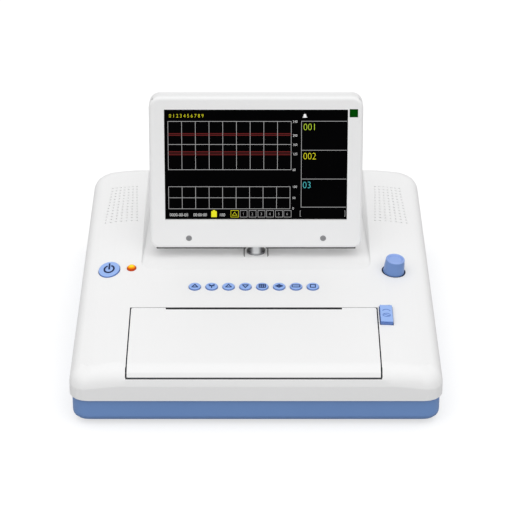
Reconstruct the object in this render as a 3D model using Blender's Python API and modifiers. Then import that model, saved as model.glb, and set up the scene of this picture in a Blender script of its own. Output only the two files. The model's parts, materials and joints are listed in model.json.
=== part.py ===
# Desk fetal monitor: case with paper printer, tilting display, keys, knob and paper door.
# Metres, +Z up. X runs to the right, Y to the rear, and the front faces -Y.
# The origin is on the surface that the feet rest on, below the middle of the case.
# A SETBACK is how far behind the case's front edge a place lies.

import math

import bmesh
import bpy
from mathutils import Matrix, Vector

# General fits
GAP = 0.0003
SEAM = 0.0005
OVERRUN = 0.004
WALL = 0.0025
PLAY = 0.0008

# Case, outside
CASE_DEPTH = 0.314
CASE_TAPER = 0.0072
DECK_FRONT_HEIGHT = 0.05135
DECK_REAR_HEIGHT = 0.08064
BASE_BOTTOM = 0.004
BASE_TOP = 0.024
BASE_INSET = 0.0021
BASE_ROUNDING = 0.0048
CORNER_RADIUS = 0.0155
FRONT_ROUNDING = 0.014
SIDE_ROUNDING = 0.0090
CROWN_SPAN = 0.0519
CROWN_RADIUS = 0.200
CROWN_STRIPS = 4
SIDE_DRAFT = math.radians(0.7)
EDGE_SLOPE_SHARE = 0.5
CORNER_STEPS = 5
EDGE_STEPS = 4

# Feet
FOOT_DIAMETER = 0.016
FOOT_FROM_SIDE = 0.030
FOOT_FROM_END = 0.032

# Display well in the deck, with a shoulder of the deck on each side of it
WELL_FLOOR = 0.0644
WELL_SETBACK = 0.1455
WELL_SIDE_ROOM = 0.00755
WELL_NARROWING = 0.0136
SHOULDER_WIDTH = 0.0526
WELL_SIDE_ANGLE = math.radians(18.0)
WELL_CORNER = 0.012
WELL_TOP_SPARE = 0.040

# Display
DISPLAY_DEPTH = 0.020
DISPLAY_LEAN = math.radians(10.0)
DISPLAY_CORNER = 0.008
DISPLAY_EDGE = 0.003
DISPLAY_WALL = 0.0025
BEZEL_DEPTH = 0.008
WINDOW_WIDTH = 0.154
WINDOW_HEIGHT = 0.0965
WINDOW_FROM_BOTTOM = 0.025
BEZEL_SIDE = 0.01275
BEZEL_TOP = 0.0108
GLASS_LAP = 0.002
GLASS_THICKNESS = 0.0016
PANEL_MARGIN = 0.005
PANEL_THICKNESS = 0.005
BEZEL_SCREW_FROM_SIDE = 0.03275
BEZEL_SCREW_FROM_BOTTOM = 0.0088
BEZEL_SCREW_HEAD = 0.005
BEZEL_SCREW_SHANK = 0.0025
BEZEL_SCREW_HEAD_DEPTH = 0.0012
BEZEL_SCREW_LENGTH = 0.006
STATUS_SIZE = 0.007
STATUS_FROM_SIDE = 0.00795
STATUS_FROM_TOP = 0.0139
STATUS_DEPTH = 0.0015

# Display hinge
PIVOT_FROM_WELL_FRONT = 0.034
PIVOT_HEIGHT = 0.0835
PIVOT_FROM_BOTTOM = 0.012
PIVOT_FROM_FRONT = 0.009
NECK_DISC_DIAMETER = 0.016
NECK_DISC_TOP = 0.0702
NECK_STEM_WIDTH = 0.014
NECK_STEM_DEPTH = 0.007
NECK_BARREL_DIAMETER = 0.011
NECK_BARREL_LENGTH = 0.015
NECK_SHANK_DIAMETER = 0.010
NECK_SHANK_LENGTH = 0.012
HINGE_SHAFT_DIAMETER = 0.004
HINGE_POCKET_WIDTH = 0.025
HINGE_POCKET_TOP = 0.008
HINGE_FRONT_LIP = 0.0035
EAR_THICKNESS = 0.003
EAR_RADIUS = 0.0048
EAR_ARM_TOP = 0.024
BRACKET_PLATE_BOTTOM = 0.012
BRACKET_BOSS_SPACING = 0.016
BRACKET_BOSS_DIAMETER = 0.005
COVER_WIDTH = 0.0194
COVER_LEAD = 0.0095
COVER_LENGTH = 0.030
COVER_THICKNESS = 0.0015

# Printer and its door. The printer's middle lies a little left of the case's middle.
PRINTER_X = -0.0018
DOOR_MARGIN = 0.0095
DOOR_LENGTH = 0.089
DOOR_THICKNESS = 0.0022
DOOR_PIVOT_SETBACK = 0.006
DOOR_PIVOT_DROP = 0.00495
DOOR_BEAD_DIAMETER = 0.0048
DOOR_EDGE_DROP = 0.0008
DOOR_SWEEP_RADIUS = 0.0041
DOOR_SILL_DROP = 0.00685
DOOR_ROD_DIAMETER = 0.0024
DOOR_ROD_REACH = 0.004
DOOR_BOSS_WIDTH = 0.006
DOOR_BOSS_DEPTH = 0.011
DOOR_BOSS_HEIGHT = 0.012
SLOT_WIDTH = 0.1452
SLOT_DEPTH = 0.0024

PLATEN_SETBACK = 0.080
PLATEN_HEIGHT = 0.049
PLATEN_DIAMETER = 0.012
PLATEN_LENGTH = 0.148
PLATEN_SHAFT_DIAMETER = 0.004
PLATEN_SHAFT_LEFT = 0.083
PLATEN_SHAFT_RIGHT = 0.094
DOOR_RIB_INNER = 0.0755
DOOR_RIB_THICKNESS = 0.003
DOOR_RIB_DEPTH = 0.012
DOOR_RIB_DROP = 0.0042
FRAME_CHEEK_INNER = 0.080
FRAME_CHEEK_THICKNESS = 0.002
FRAME_CHEEK_SETBACK = 0.072
FRAME_CHEEK_TOP = 0.0525
FRAME_BASE_BOTTOM = 0.0255
FRAME_BASE_THICKNESS = 0.002
FRAME_BASE_REACH = 0.090
FRAME_BASE_SETBACK = 0.083
FRAME_REAR_SETBACK = 0.1125
FRAME_BEAM_SETBACK = 0.0896
FRAME_BEAM_THICKNESS = 0.0025
FRAME_BEAM_TOP = 0.0515
FRAME_NOTCH_WIDTH = 0.0060
HEAD_THICKNESS = 0.0030
HEAD_BOTTOM = 0.042
HEAD_TOP = 0.0545

GEAR_MODULE = 0.0008
GEAR_WIDTH = 0.004
GEAR_START = 0.084
GEAR_BACKLASH = 0.00035
PLATEN_TEETH = 16
IDLER_TEETH = 24
PINION_TEETH = 12
IDLER_SETBACK = 0.0803
IDLER_AXLE_DIAMETER = 0.003
PINION_ANGLE = math.radians(-13.5)
PINION_SHAFT_DIAMETER = 0.003
GEAR_SPREAD = 0.00015
TOOTH_ROOT_SHARE = 1.25
TOOTH_TIP_SHARE = 0.9
ROOT_HALF_SHARE = 0.36
PITCH_HALF_SHARE = 0.25
TIP_HALF_SHARE = 0.12
MOTOR_DIAMETER = 0.025
MOTOR_LENGTH = 0.015
MOTOR_PLATE_START = 0.090
MOTOR_PLATE_THICKNESS = 0.002
MOTOR_PLATE_TOP = 0.0425
MOTOR_BORE_DEPTH = 0.005

TRAY_WALL = 0.002
TRAY_SETBACK = 0.010
TRAY_WALL_TOP = 0.040
TRAY_LOW_TOP = 0.0242
TRAY_STEP_START = 0.0565
PAPER_WIDTH = 0.150
PAPER_DEPTH = 0.091
PAPER_HEIGHT = 0.013
PAPER_SIDE_ROOM = 0.002
PAPER_END_ROOM = 0.00125

# Door release
RELEASE_WIDTH = 0.0104
RELEASE_LENGTH = 0.0253
RELEASE_FROM_DOOR = 0.0071
RELEASE_SETBACK = 0.0778
RELEASE_TRAVEL = 0.0025
RELEASE_SKIRT = 0.007
RELEASE_STEM_WIDTH = 0.005
RELEASE_STEM_SETBACK = 0.0663
RELEASE_EDGE = 0.0007
LEVER_SETBACK = 0.0745
LEVER_HEIGHT = 0.0428
LEVER_BAR_DIAMETER = 0.004
LEVER_FROM_RELEASE = 0.0042
LEVER_ARM_THICKNESS = 0.002
LEVER_FINGER_WIDTH = 0.0018
LEVER_FINGER_START = 0.0912
LUG_THICKNESS = 0.003
LUG_START = 0.0973
LUG_FROM_RELEASE = 0.0067
LUG_DEPTH = 0.008

# Keys, lamp and power button
KEY_COUNT = 8
KEY_PITCH = 0.01408
KEY_DIAMETER = 0.01035
KEY_RISE = 0.0012
KEY_SETBACK = 0.1193
KEY_TRAVEL = 0.0010
KEY_FLANGE_DIAMETER = 0.0122
KEY_FLANGE_THICKNESS = 0.0010
KEY_DOME_ROOM = 0.0039
BOARD_THICKNESS = 0.0016
KEY_BOARD_WIDTH = 0.124
KEY_BOARD_LENGTH = 0.020
KEY_BOSS_DIAMETER = 0.005
KEY_EDGE = 0.0005
POWER_DIAMETER = 0.0183
POWER_FROM_WELL = 0.0267
POWER_SETBACK = 0.1463
POWER_RISE = 0.0010
LAMP_DIAMETER = 0.0079
LAMP_FROM_WELL = 0.0079
LAMP_SETBACK = 0.148
LAMP_RISE = 0.0012
LAMP_LENGTH = 0.008

# Control knob
KNOB_FROM_WELL = 0.0189
KNOB_SETBACK = 0.1448
KNOB_TOP_DIAMETER = 0.0160
KNOB_BASE_DIAMETER = 0.0180
KNOB_HEIGHT = 0.0132
KNOB_SINK = 0.0006
KNOB_TRAVEL = 0.0008
KNOB_CUP_DIAMETER = 0.0204
KNOB_CUP_DEPTH = 0.0016
KNOB_EDGE = 0.0008
KNOB_BORE_DEPTH = 0.008
ENCODER_SHAFT_DIAMETER = 0.006
ENCODER_BUSH_DIAMETER = 0.009
ENCODER_BODY_WIDTH = 0.014
ENCODER_BODY_HEIGHT = 0.007
ENCODER_STROKE_ROOM = 0.0015

# Speaker grilles
SPEAKER_FROM_WELL = 0.0062
SPEAKER_FROM_SIDE = 0.0168
SPEAKER_FROM_REAR = 0.0625
SPEAKER_LENGTH = 0.060
SPEAKER_DEPTH = 0.014
SPEAKER_CORNER = 0.006

# Sockets in the left wall and at the rear
PROBE_COUNT = 4
PROBE_PITCH = 0.024
PROBE_SETBACK = 0.1275
PROBE_HEIGHT = 0.0368
PROBE_DIAMETER = 0.0145
PROBE_BORE = 0.0100
PROBE_LENGTH = 0.013
PROBE_BORE_DEPTH = 0.009
PROBE_LIP = 0.0014
SIDE_PANEL_DEPTH = 0.003
SIDE_PANEL_HEIGHT = 0.019
REAR_PANEL_DEPTH = 0.004
REAR_PANEL_WIDTH = 0.110
REAR_PANEL_HEIGHT = 0.022
REAR_PANEL_X = 0.040
REAR_PANEL_Z = 0.040
INLET_X = 0.0
INLET_DIAMETER = 0.011
INLET_BORE = 0.0062
INLET_PIN = 0.0020
LAN_X = 0.030
LAN_WIDTH = 0.016
LAN_HEIGHT = 0.0135
USB_X = 0.056
USB_WIDTH = 0.0145
USB_HEIGHT = 0.0070
PORT_WALL = 0.0009
PORT_LENGTH = 0.017
PORT_BORE_DEPTH = 0.013
GROUND_X = 0.080
GROUND_DIAMETER = 0.007
GROUND_LENGTH = 0.018

# Boards and battery on the lower case
MAIN_BOARD_WIDTH = 0.150
MAIN_BOARD_LENGTH = 0.100
MAIN_BOARD_X = 0.045
MAIN_BOARD_FROM_REAR = 0.0675
STANDOFF_HEIGHT = 0.008
STANDOFF_DIAMETER = 0.007
STANDOFF_INSET = 0.008
BATTERY_WIDTH = 0.060
BATTERY_LENGTH = 0.090
BATTERY_HEIGHT = 0.020
BATTERY_X = -0.085
BATTERY_FROM_REAR = 0.0875
BATTERY_COVER_THICKNESS = 0.0018
BATTERY_COVER_LAP = 0.004
BATTERY_CORNER = 0.002

# Facets of round pieces and of rounded edges
ROUND_STEPS = 24
BEAD_STEPS = 20
SMALL_STEPS = 16
BOSS_STEPS = 8
SHELL_EDGE_STEPS = 3
RIM_STEPS = 2
SMOOTH_ANGLE = math.radians(35.0)
ALONG_SHARE = 0.9

# Colour, roughness and metallic value of each finish
FINISHES = {
    "white_shell": ((0.84, 0.84, 0.84), 0.42, 0.0),
    "blue_shell": ((0.16, 0.30, 0.62), 0.40, 0.0),
    "blue_key": ((0.26, 0.42, 0.80), 0.35, 0.0),
    "grey_hinge": ((0.45, 0.46, 0.47), 0.30, 0.0),
    "black_plastic": ((0.02, 0.02, 0.022), 0.45, 0.0),
    "grey_plastic": ((0.35, 0.36, 0.37), 0.50, 0.0),
    "screen_glass": ((0.01, 0.01, 0.012), 0.10, 0.0),
    "green_window": ((0.01, 0.16, 0.02), 0.25, 0.0),
    "amber_lens": ((0.95, 0.35, 0.05), 0.20, 0.0),
    "foot_rubber": ((0.05, 0.05, 0.05), 0.80, 0.0),
    "roller_rubber": ((0.06, 0.06, 0.06), 0.70, 0.0),
    "steel": ((0.62, 0.62, 0.62), 0.30, 1.0),
    "circuit_board": ((0.02, 0.22, 0.08), 0.50, 0.0),
    "chart_paper": ((0.90, 0.88, 0.84), 0.80, 0.0),
    "gear_plastic": ((0.82, 0.80, 0.74), 0.45, 0.0),
    "battery_wrap": ((0.05, 0.09, 0.20), 0.40, 0.0),
}

# Worked out from the sizes above
deck_rise = (DECK_REAR_HEIGHT - DECK_FRONT_HEIGHT) / CASE_DEPTH
deck_angle = math.atan(deck_rise)
front_y = -CASE_DEPTH / 2
rear_y = CASE_DEPTH / 2
display_width = WINDOW_WIDTH + 2 * BEZEL_SIDE
display_height = WINDOW_FROM_BOTTOM + WINDOW_HEIGHT + BEZEL_TOP
well_width = display_width + 2 * WELL_SIDE_ROOM
well_rear_width = well_width - WELL_NARROWING
well_front_y = front_y + WELL_SETBACK
pivot_y = well_front_y + PIVOT_FROM_WELL_FRONT
cover_front_y = pivot_y - COVER_LEAD
case_width = well_width + 2 * SHOULDER_WIDTH
crown_start = case_width / 2 - CROWN_SPAN
door_width = 2 * (MOTOR_PLATE_START + MOTOR_PLATE_THICKNESS + DOOR_MARGIN)
door_left = PRINTER_X - door_width / 2
door_right = PRINTER_X + door_width / 2
door_pivot_y = front_y + DOOR_PIVOT_SETBACK
door_rear_y = front_y + DOOR_LENGTH
platen_y = front_y + PLATEN_SETBACK
idler_y = front_y + IDLER_SETBACK
cheek_front_y = front_y + FRAME_CHEEK_SETBACK
frame_front_y = front_y + FRAME_BASE_SETBACK
frame_rear_y = front_y + FRAME_REAR_SETBACK
beam_front_y = front_y + FRAME_BEAM_SETBACK
tray_front_y = front_y + TRAY_SETBACK
tray_width = PAPER_WIDTH + 2 * (TRAY_WALL + PAPER_SIDE_ROOM)
tray_rear_y = tray_front_y + PAPER_DEPTH + 2 * (TRAY_WALL + PAPER_END_ROOM)
tray_step_y = tray_front_y + TRAY_STEP_START
release_x = door_right + RELEASE_FROM_DOOR
release_y = front_y + RELEASE_SETBACK
release_stem_y = front_y + RELEASE_STEM_SETBACK
lever_y = front_y + LEVER_SETBACK
key_y = front_y + KEY_SETBACK
power_x = -well_width / 2 - POWER_FROM_WELL
power_y = front_y + POWER_SETBACK
lamp_x = -well_width / 2 - LAMP_FROM_WELL
lamp_y = front_y + LAMP_SETBACK
knob_x = well_width / 2 + KNOB_FROM_WELL
knob_y = front_y + KNOB_SETBACK
speaker_width = SHOULDER_WIDTH - SPEAKER_FROM_WELL - SPEAKER_FROM_SIDE
speaker_x = well_width / 2 + SPEAKER_FROM_WELL + speaker_width / 2
speaker_y = rear_y - SPEAKER_FROM_REAR
probe_first_y = front_y + PROBE_SETBACK
main_board_y = rear_y - MAIN_BOARD_FROM_REAR
battery_y = rear_y - BATTERY_FROM_REAR
door_pivot_z = DECK_FRONT_HEIGHT - DOOR_PIVOT_DROP
floor_top = BASE_BOTTOM + WALL
key_length = KEY_RISE + WALL + GAP + KEY_FLANGE_THICKNESS
power_length = POWER_RISE + WALL + PLAY + KEY_FLANGE_THICKNESS
release_rise = RELEASE_TRAVEL + SEAM
gear_x = PRINTER_X + GEAR_START
motor_reach = MOTOR_PLATE_START + MOTOR_PLATE_THICKNESS + GAP
platen_pitch_radius = PLATEN_TEETH * GEAR_MODULE / 2
idler_pitch_radius = IDLER_TEETH * GEAR_MODULE / 2
pinion_pitch_radius = PINION_TEETH * GEAR_MODULE / 2
first_spacing = platen_pitch_radius + idler_pitch_radius + GEAR_SPREAD
second_spacing = idler_pitch_radius + pinion_pitch_radius + GEAR_SPREAD
idler_drop = math.sqrt(first_spacing**2 - (idler_y - platen_y) ** 2)
idler_z = PLATEN_HEIGHT - idler_drop
pinion_y = idler_y + second_spacing * math.cos(PINION_ANGLE)
pinion_z = idler_z + second_spacing * math.sin(PINION_ANGLE)


def deckHeight(y):
    return DECK_FRONT_HEIGHT + deck_rise * (y - front_y)


def crownDrop(x):
    """How far the deck falls away to the side, outside its flat middle."""
    return max(0.0, abs(x) - crown_start) ** 2 / (2 * CROWN_RADIUS)


def crownRoll(x):
    return math.copysign(math.asin(max(0.0, abs(x) - crown_start) / CROWN_RADIUS), x)


def halfWidth(y, z, inset=0.0):
    """Half the case's width at a place, with its taper to the rear and its draft upwards."""
    back_share = (y - front_y) / CASE_DEPTH
    width = case_width - CASE_TAPER * back_share
    return width / 2 - (z - BASE_TOP) * math.tan(SIDE_DRAFT) - inset


def clearScene():
    for item in list(bpy.data.objects):
        bpy.data.objects.remove(item)
    for group in list(bpy.data.collections):
        bpy.data.collections.remove(group)


def newCollection(name):
    group = bpy.data.collections.new(name)
    bpy.context.scene.collection.children.link(group)
    return group


def makeMaterial(name):
    colour, roughness, metallic = FINISHES[name]
    material = bpy.data.materials.new(name)
    material.use_nodes = True
    shader = material.node_tree.nodes["Principled BSDF"]
    shader.inputs["Base Color"].default_value = (*colour, 1.0)
    shader.inputs["Roughness"].default_value = roughness
    shader.inputs["Metallic"].default_value = metallic
    material.diffuse_color = (*colour, 1.0)
    return material


clearScene()
part_group = newCollection("fetal_monitor")
cutter_group = newCollection("cutters")
materials = {name: makeMaterial(name) for name in FINISHES}


def makeFrame(name, location, tilt=0.0):
    """An empty on a joint's axis or on the deck, tilted about X."""
    empty = bpy.data.objects.new(name, None)
    empty.location = location
    empty.rotation_euler = (tilt, 0.0, 0.0)
    empty.empty_display_size = KNOB_HEIGHT
    part_group.objects.link(empty)
    return empty


def addObject(name, bm, finish, frame=None, smooth=False):
    """Turn a bmesh into a named object that its frame carries. No finish makes it a cutter."""
    mesh = bpy.data.meshes.new(name)
    bm.to_mesh(mesh)
    bm.free()
    item = bpy.data.objects.new(name, mesh)
    if smooth:
        mesh.shade_smooth()
        mesh.set_sharp_from_angle(angle=SMOOTH_ANGLE)
    if finish:
        mesh.materials.append(materials[finish])
        part_group.objects.link(item)
    else:
        item.hide_render = True
        item.display_type = "WIRE"
        cutter_group.objects.link(item)
    if frame:
        item.parent = frame
    return item


def boolean(target, tool, operation):
    change = target.modifiers.new(tool.name, "BOOLEAN")
    change.operation = operation
    change.solver = "EXACT"
    change.object = tool
    return target


def cut(target, *tools):
    for tool in tools:
        boolean(target, tool, "DIFFERENCE")
    return target


def join(target, *tools):
    for tool in tools:
        boolean(target, tool, "UNION")
    return target


def boxMesh(low, high):
    bm = bmesh.new()
    bmesh.ops.create_cube(bm, size=1.0)
    low = Vector(low)
    high = Vector(high)
    size = high - low
    bmesh.ops.scale(bm, vec=size, verts=bm.verts)
    bmesh.ops.translate(bm, vec=(low + high) / 2, verts=bm.verts)
    return bm


def bevelEdges(bm, edges, radius, steps):
    bmesh.ops.bevel(
        bm,
        geom=edges,
        offset=radius,
        offset_type="OFFSET",
        segments=steps,
        profile=0.5,
        affect="EDGES",
        clamp_overlap=True,
    )


def edgesAlong(bm, axis):
    """The edges that run mostly along one axis."""
    found = []
    for edge in bm.edges:
        run = edge.verts[1].co - edge.verts[0].co
        if abs(run[axis]) > ALONG_SHARE * run.length:
            found.append(edge)
    return found


def box(name, low, high, finish=None, frame=None, corner=0.0, corner_axis=2, edge=0.0):
    """A box between two corners. Its edges along one axis can be rounded, then its rims."""
    bm = boxMesh(low, high)
    if corner:
        bevelEdges(bm, edgesAlong(bm, corner_axis), corner, EDGE_STEPS)
    if edge:
        rims = [e for e in bm.edges if abs(e.verts[0].co[corner_axis] - e.verts[1].co[corner_axis]) < GAP]
        bevelEdges(bm, rims, edge, RIM_STEPS)
    return addObject(name, bm, finish, frame, smooth=bool(corner))


def turnToAxis(bm, axis):
    if axis == 0:
        bmesh.ops.rotate(bm, verts=bm.verts, matrix=Matrix.Rotation(math.pi / 2, 3, "Y"))
    elif axis == 1:
        bmesh.ops.rotate(bm, verts=bm.verts, matrix=Matrix.Rotation(-math.pi / 2, 3, "X"))


def rod(
    name, start, length, diameter, axis=2, finish=None, frame=None, steps=SMALL_STEPS, end=None, edge=0.0
):
    """A round rod from a point along +X, +Y or +Z. The far end can have its own diameter."""
    far_diameter = diameter if end is None else end
    bm = bmesh.new()
    bmesh.ops.create_cone(
        bm, cap_ends=True, segments=steps, radius1=diameter / 2, radius2=far_diameter / 2, depth=length
    )
    bmesh.ops.translate(bm, verts=bm.verts, vec=(0.0, 0.0, length / 2))
    if edge:
        rim = [e for e in bm.edges if min(v.co.z for v in e.verts) > length - GAP]
        bevelEdges(bm, rim, edge, RIM_STEPS)
    turnToAxis(bm, axis)
    bmesh.ops.translate(bm, verts=bm.verts, vec=start)
    return addObject(name, bm, finish, frame, smooth=True)


def union(name, finish, frame, first, *others):
    """Give the first shape its name and finish, and join the others to it."""
    first.name = name
    first.data.name = name
    cutter_group.objects.unlink(first)
    part_group.objects.link(first)
    first.hide_render = False
    first.display_type = "TEXTURED"
    first.data.materials.append(materials[finish])
    if frame:
        first.parent = frame
    return join(first, *others)


def weightEdges(item, shares):
    """Write one bevel weight for each edge, as a share of the widest rounding."""
    layer = item.data.attributes.new("bevel_weight_edge", "FLOAT", "EDGE")
    for index, value in shares.items():
        layer.data[index].value = value


def crownDeck(bm):
    """Cut the form into strips outside its flat middle, and lower the deck there."""
    rear_half = (case_width - CASE_TAPER) / 2
    strip = (rear_half - CORNER_RADIUS - crown_start) / (CROWN_STRIPS - 1)
    for i in range(CROWN_STRIPS):
        for side in (-1, 1):
            place = side * (crown_start + i * strip)
            every = bm.verts[:] + bm.edges[:] + bm.faces[:]
            across = Vector((1.0, 0.0, 0.0))
            bmesh.ops.bisect_plane(bm, geom=every, dist=GAP / 10, plane_co=place * across, plane_no=across)
    for vert in bm.verts:
        if vert.co.z > BASE_TOP + WALL:
            vert.co.z -= crownDrop(vert.co.x)


def caseBlock(name, bottom, inset, finish=None):
    """The upper case's outer form, or the space inside it when it is inset."""
    bm = boxMesh((-1.0, -1.0, -1.0), (1.0, 1.0, 1.0))
    for vert in bm.verts:
        y = (rear_y - inset) if vert.co.y > 0 else (front_y + inset)
        top = vert.co.z > 0
        z = deckHeight(y) - inset / math.cos(deck_angle) if top else bottom
        if top and vert.co.y > 0:
            y -= (z - BASE_TOP) * math.tan(SIDE_DRAFT)
        side = 1 if vert.co.x > 0 else -1
        vert.co = (side * halfWidth(y, z, inset), y, z)
    bevelEdges(bm, edgesAlong(bm, 2), CORNER_RADIUS - inset, CORNER_STEPS)
    crownDeck(bm)
    bm.normal_update()
    bm.edges.index_update()
    widest = FRONT_ROUNDING - inset
    side_share = (SIDE_ROUNDING - inset) / widest
    shares = {}
    for edge in bm.edges:
        upward = sorted(face.normal.z for face in edge.link_faces)
        if upward[0] < EDGE_SLOPE_SHARE < upward[1]:
            nearness = 1.0 - (min(v.co.y for v in edge.verts) - front_y - inset) / CORNER_RADIUS
            shares[edge.index] = side_share + (1.0 - side_share) * max(0.0, min(1.0, nearness))
    item = addObject(name, bm, finish, smooth=True)
    weightEdges(item, shares)
    rounding = item.modifiers.new("deck_edge", "BEVEL")
    rounding.limit_method = "WEIGHT"
    rounding.width = widest
    rounding.segments = EDGE_STEPS
    rounding.offset_type = "OFFSET"
    item.modifiers.new("flat_facets", "TRIANGULATE")
    return item


def wellBlock(name, grow):
    """The display well: flat floor, sloping sides, open at the top and the rear."""
    top = DECK_REAR_HEIGHT + WELL_TOP_SPARE
    floor = WELL_FLOOR - grow
    side_run = (top - floor) * math.tan(WELL_SIDE_ANGLE)
    side_grow = grow / math.cos(WELL_SIDE_ANGLE) - grow * math.tan(WELL_SIDE_ANGLE)
    bm = boxMesh((-1.0, -1.0, -1.0), (1.0, 1.0, 1.0))
    back = rear_y + OVERRUN
    for vert in bm.verts:
        rear = vert.co.y > 0
        y = back if rear else well_front_y - grow
        width = (well_rear_width if rear else well_width) / 2 + side_grow
        raised = vert.co.z > 0
        z = top if raised else floor
        width += side_run if raised else 0.0
        vert.co = (math.copysign(width, vert.co.x), y, z)
    corners = [e for e in edgesAlong(bm, 2) if max(v.co.y for v in e.verts) < rear_y]
    bevelEdges(bm, corners, WELL_CORNER + grow, EDGE_STEPS)
    return addObject(name, bm, None)


deck = makeFrame("deck_frame", (0.0, front_y, DECK_FRONT_HEIGHT), deck_angle)


def alongDeck(y):
    """Distance up the deck from its front edge to a given depth."""
    return (y - front_y) / math.cos(deck_angle)


def deckSpot(name, x, y):
    """An empty on the deck's surface, turned to stand square to the deck there."""
    spot = makeFrame(name, (x, alongDeck(y), -crownDrop(x)))
    spot.rotation_euler = (0.0, crownRoll(x), 0.0)
    spot.parent = deck
    return spot


def spotRod(name, spot, low, high, diameter, **options):
    return rod(name, (0.0, 0.0, low), high - low, diameter, frame=spot, **options)


# Places of the things that break the deck
first_key_x = PRINTER_X - KEY_PITCH * (KEY_COUNT - 1) / 2
key_places = [first_key_x + KEY_PITCH * i for i in range(KEY_COUNT)]
key_board_top = KEY_RISE - key_length - KEY_TRAVEL - KEY_DOME_ROOM
sill_z = DECK_FRONT_HEIGHT - DOOR_SILL_DROP
key_spots = [deckSpot(f"key_{i + 1}_frame", x, key_y) for i, x in enumerate(key_places)]
power_spot = deckSpot("power_frame", power_x, power_y)
lamp_spot = deckSpot("lamp_frame", lamp_x, lamp_y)
knob_spot = deckSpot("knob_frame", knob_x, knob_y)
release_spot = deckSpot("release_frame", release_x, release_y)
probe_places = [probe_first_y + PROBE_PITCH * (i + 0.5) for i in range(PROBE_COUNT)]
side_panel_front = probe_first_y - PROBE_PITCH
side_panel_rear = probe_first_y + PROBE_PITCH * PROBE_COUNT
side_panel_x = -halfWidth(side_panel_rear, PROBE_HEIGHT) + SIDE_PANEL_DEPTH
rear_panel_y = rear_y - REAR_PANEL_DEPTH


def doorZone(name, grow):
    """The space that the door fills, larger all round by a seam when it opens the case."""
    low_z = door_pivot_z - DOOR_EDGE_DROP if not grow else sill_z
    return box(
        name,
        (door_left - grow, front_y - OVERRUN, low_z),
        (door_right + grow, door_rear_y + grow, DECK_REAR_HEIGHT),
        corner=DOOR_EDGE_DROP * 3 if not grow else 0.0,
    )


def sidePanelZone(name, grow, depth):
    """The side window's space, from outside the case to a depth behind its panel's face."""
    low_z = PROBE_HEIGHT - SIDE_PANEL_HEIGHT / 2 - grow
    high_z = PROBE_HEIGHT + SIDE_PANEL_HEIGHT / 2 + grow
    low = (-case_width, side_panel_front - grow, low_z)
    return box(name, low, (side_panel_x + depth, side_panel_rear + grow, high_z))


def rearPanelZone(name, grow, depth):
    """The rear window's space, from outside the case to a depth behind its panel's face."""
    half = REAR_PANEL_WIDTH / 2 + grow
    half_height = REAR_PANEL_HEIGHT / 2 + grow
    low = (REAR_PANEL_X - half, rear_panel_y - depth, REAR_PANEL_Z - half_height)
    return box(name, low, (REAR_PANEL_X + half, CASE_DEPTH, REAR_PANEL_Z + half_height))


def pivotBoss(name, low_x, high_x):
    return box(
        name,
        (low_x, front_y - OVERRUN, door_pivot_z - DOOR_BOSS_HEIGHT / 2),
        (high_x, front_y + DOOR_BOSS_DEPTH, door_pivot_z + DOOR_BOSS_HEIGHT / 2),
    )


def upperInside():
    """The space inside the upper case, kept back from recesses and bosses."""
    inside = caseBlock("upper_inside", BASE_TOP - OVERRUN, WALL)
    cut(inside, wellBlock("well_wall", WALL))
    cut(inside, sidePanelZone("side_window_rim", WALL, WALL))
    cut(inside, rearPanelZone("rear_window_rim", WALL, WALL))
    boss_start = SEAM + DOOR_BOSS_WIDTH
    cut(inside, pivotBoss("boss_left", door_left - boss_start, door_left - SEAM))
    cut(inside, pivotBoss("boss_right", door_right + SEAM, door_right + boss_start))
    for i, x in enumerate((key_places[0], key_places[-1])):
        for j, side in enumerate((-1, 1)):
            shift = side * (KEY_BOARD_LENGTH / 2 - KEY_BOSS_DIAMETER / 2)
            outward = KEY_PITCH / 2 if i else -KEY_PITCH / 2
            start = (x + outward, alongDeck(key_y) + shift, key_board_top + GAP)
            run = OVERRUN - start[2]
            boss = rod(f"key_boss_{i}{j}", start, run, KEY_BOSS_DIAMETER, frame=deck, steps=BOSS_STEPS)
            cut(inside, boss)
    return inside


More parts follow.
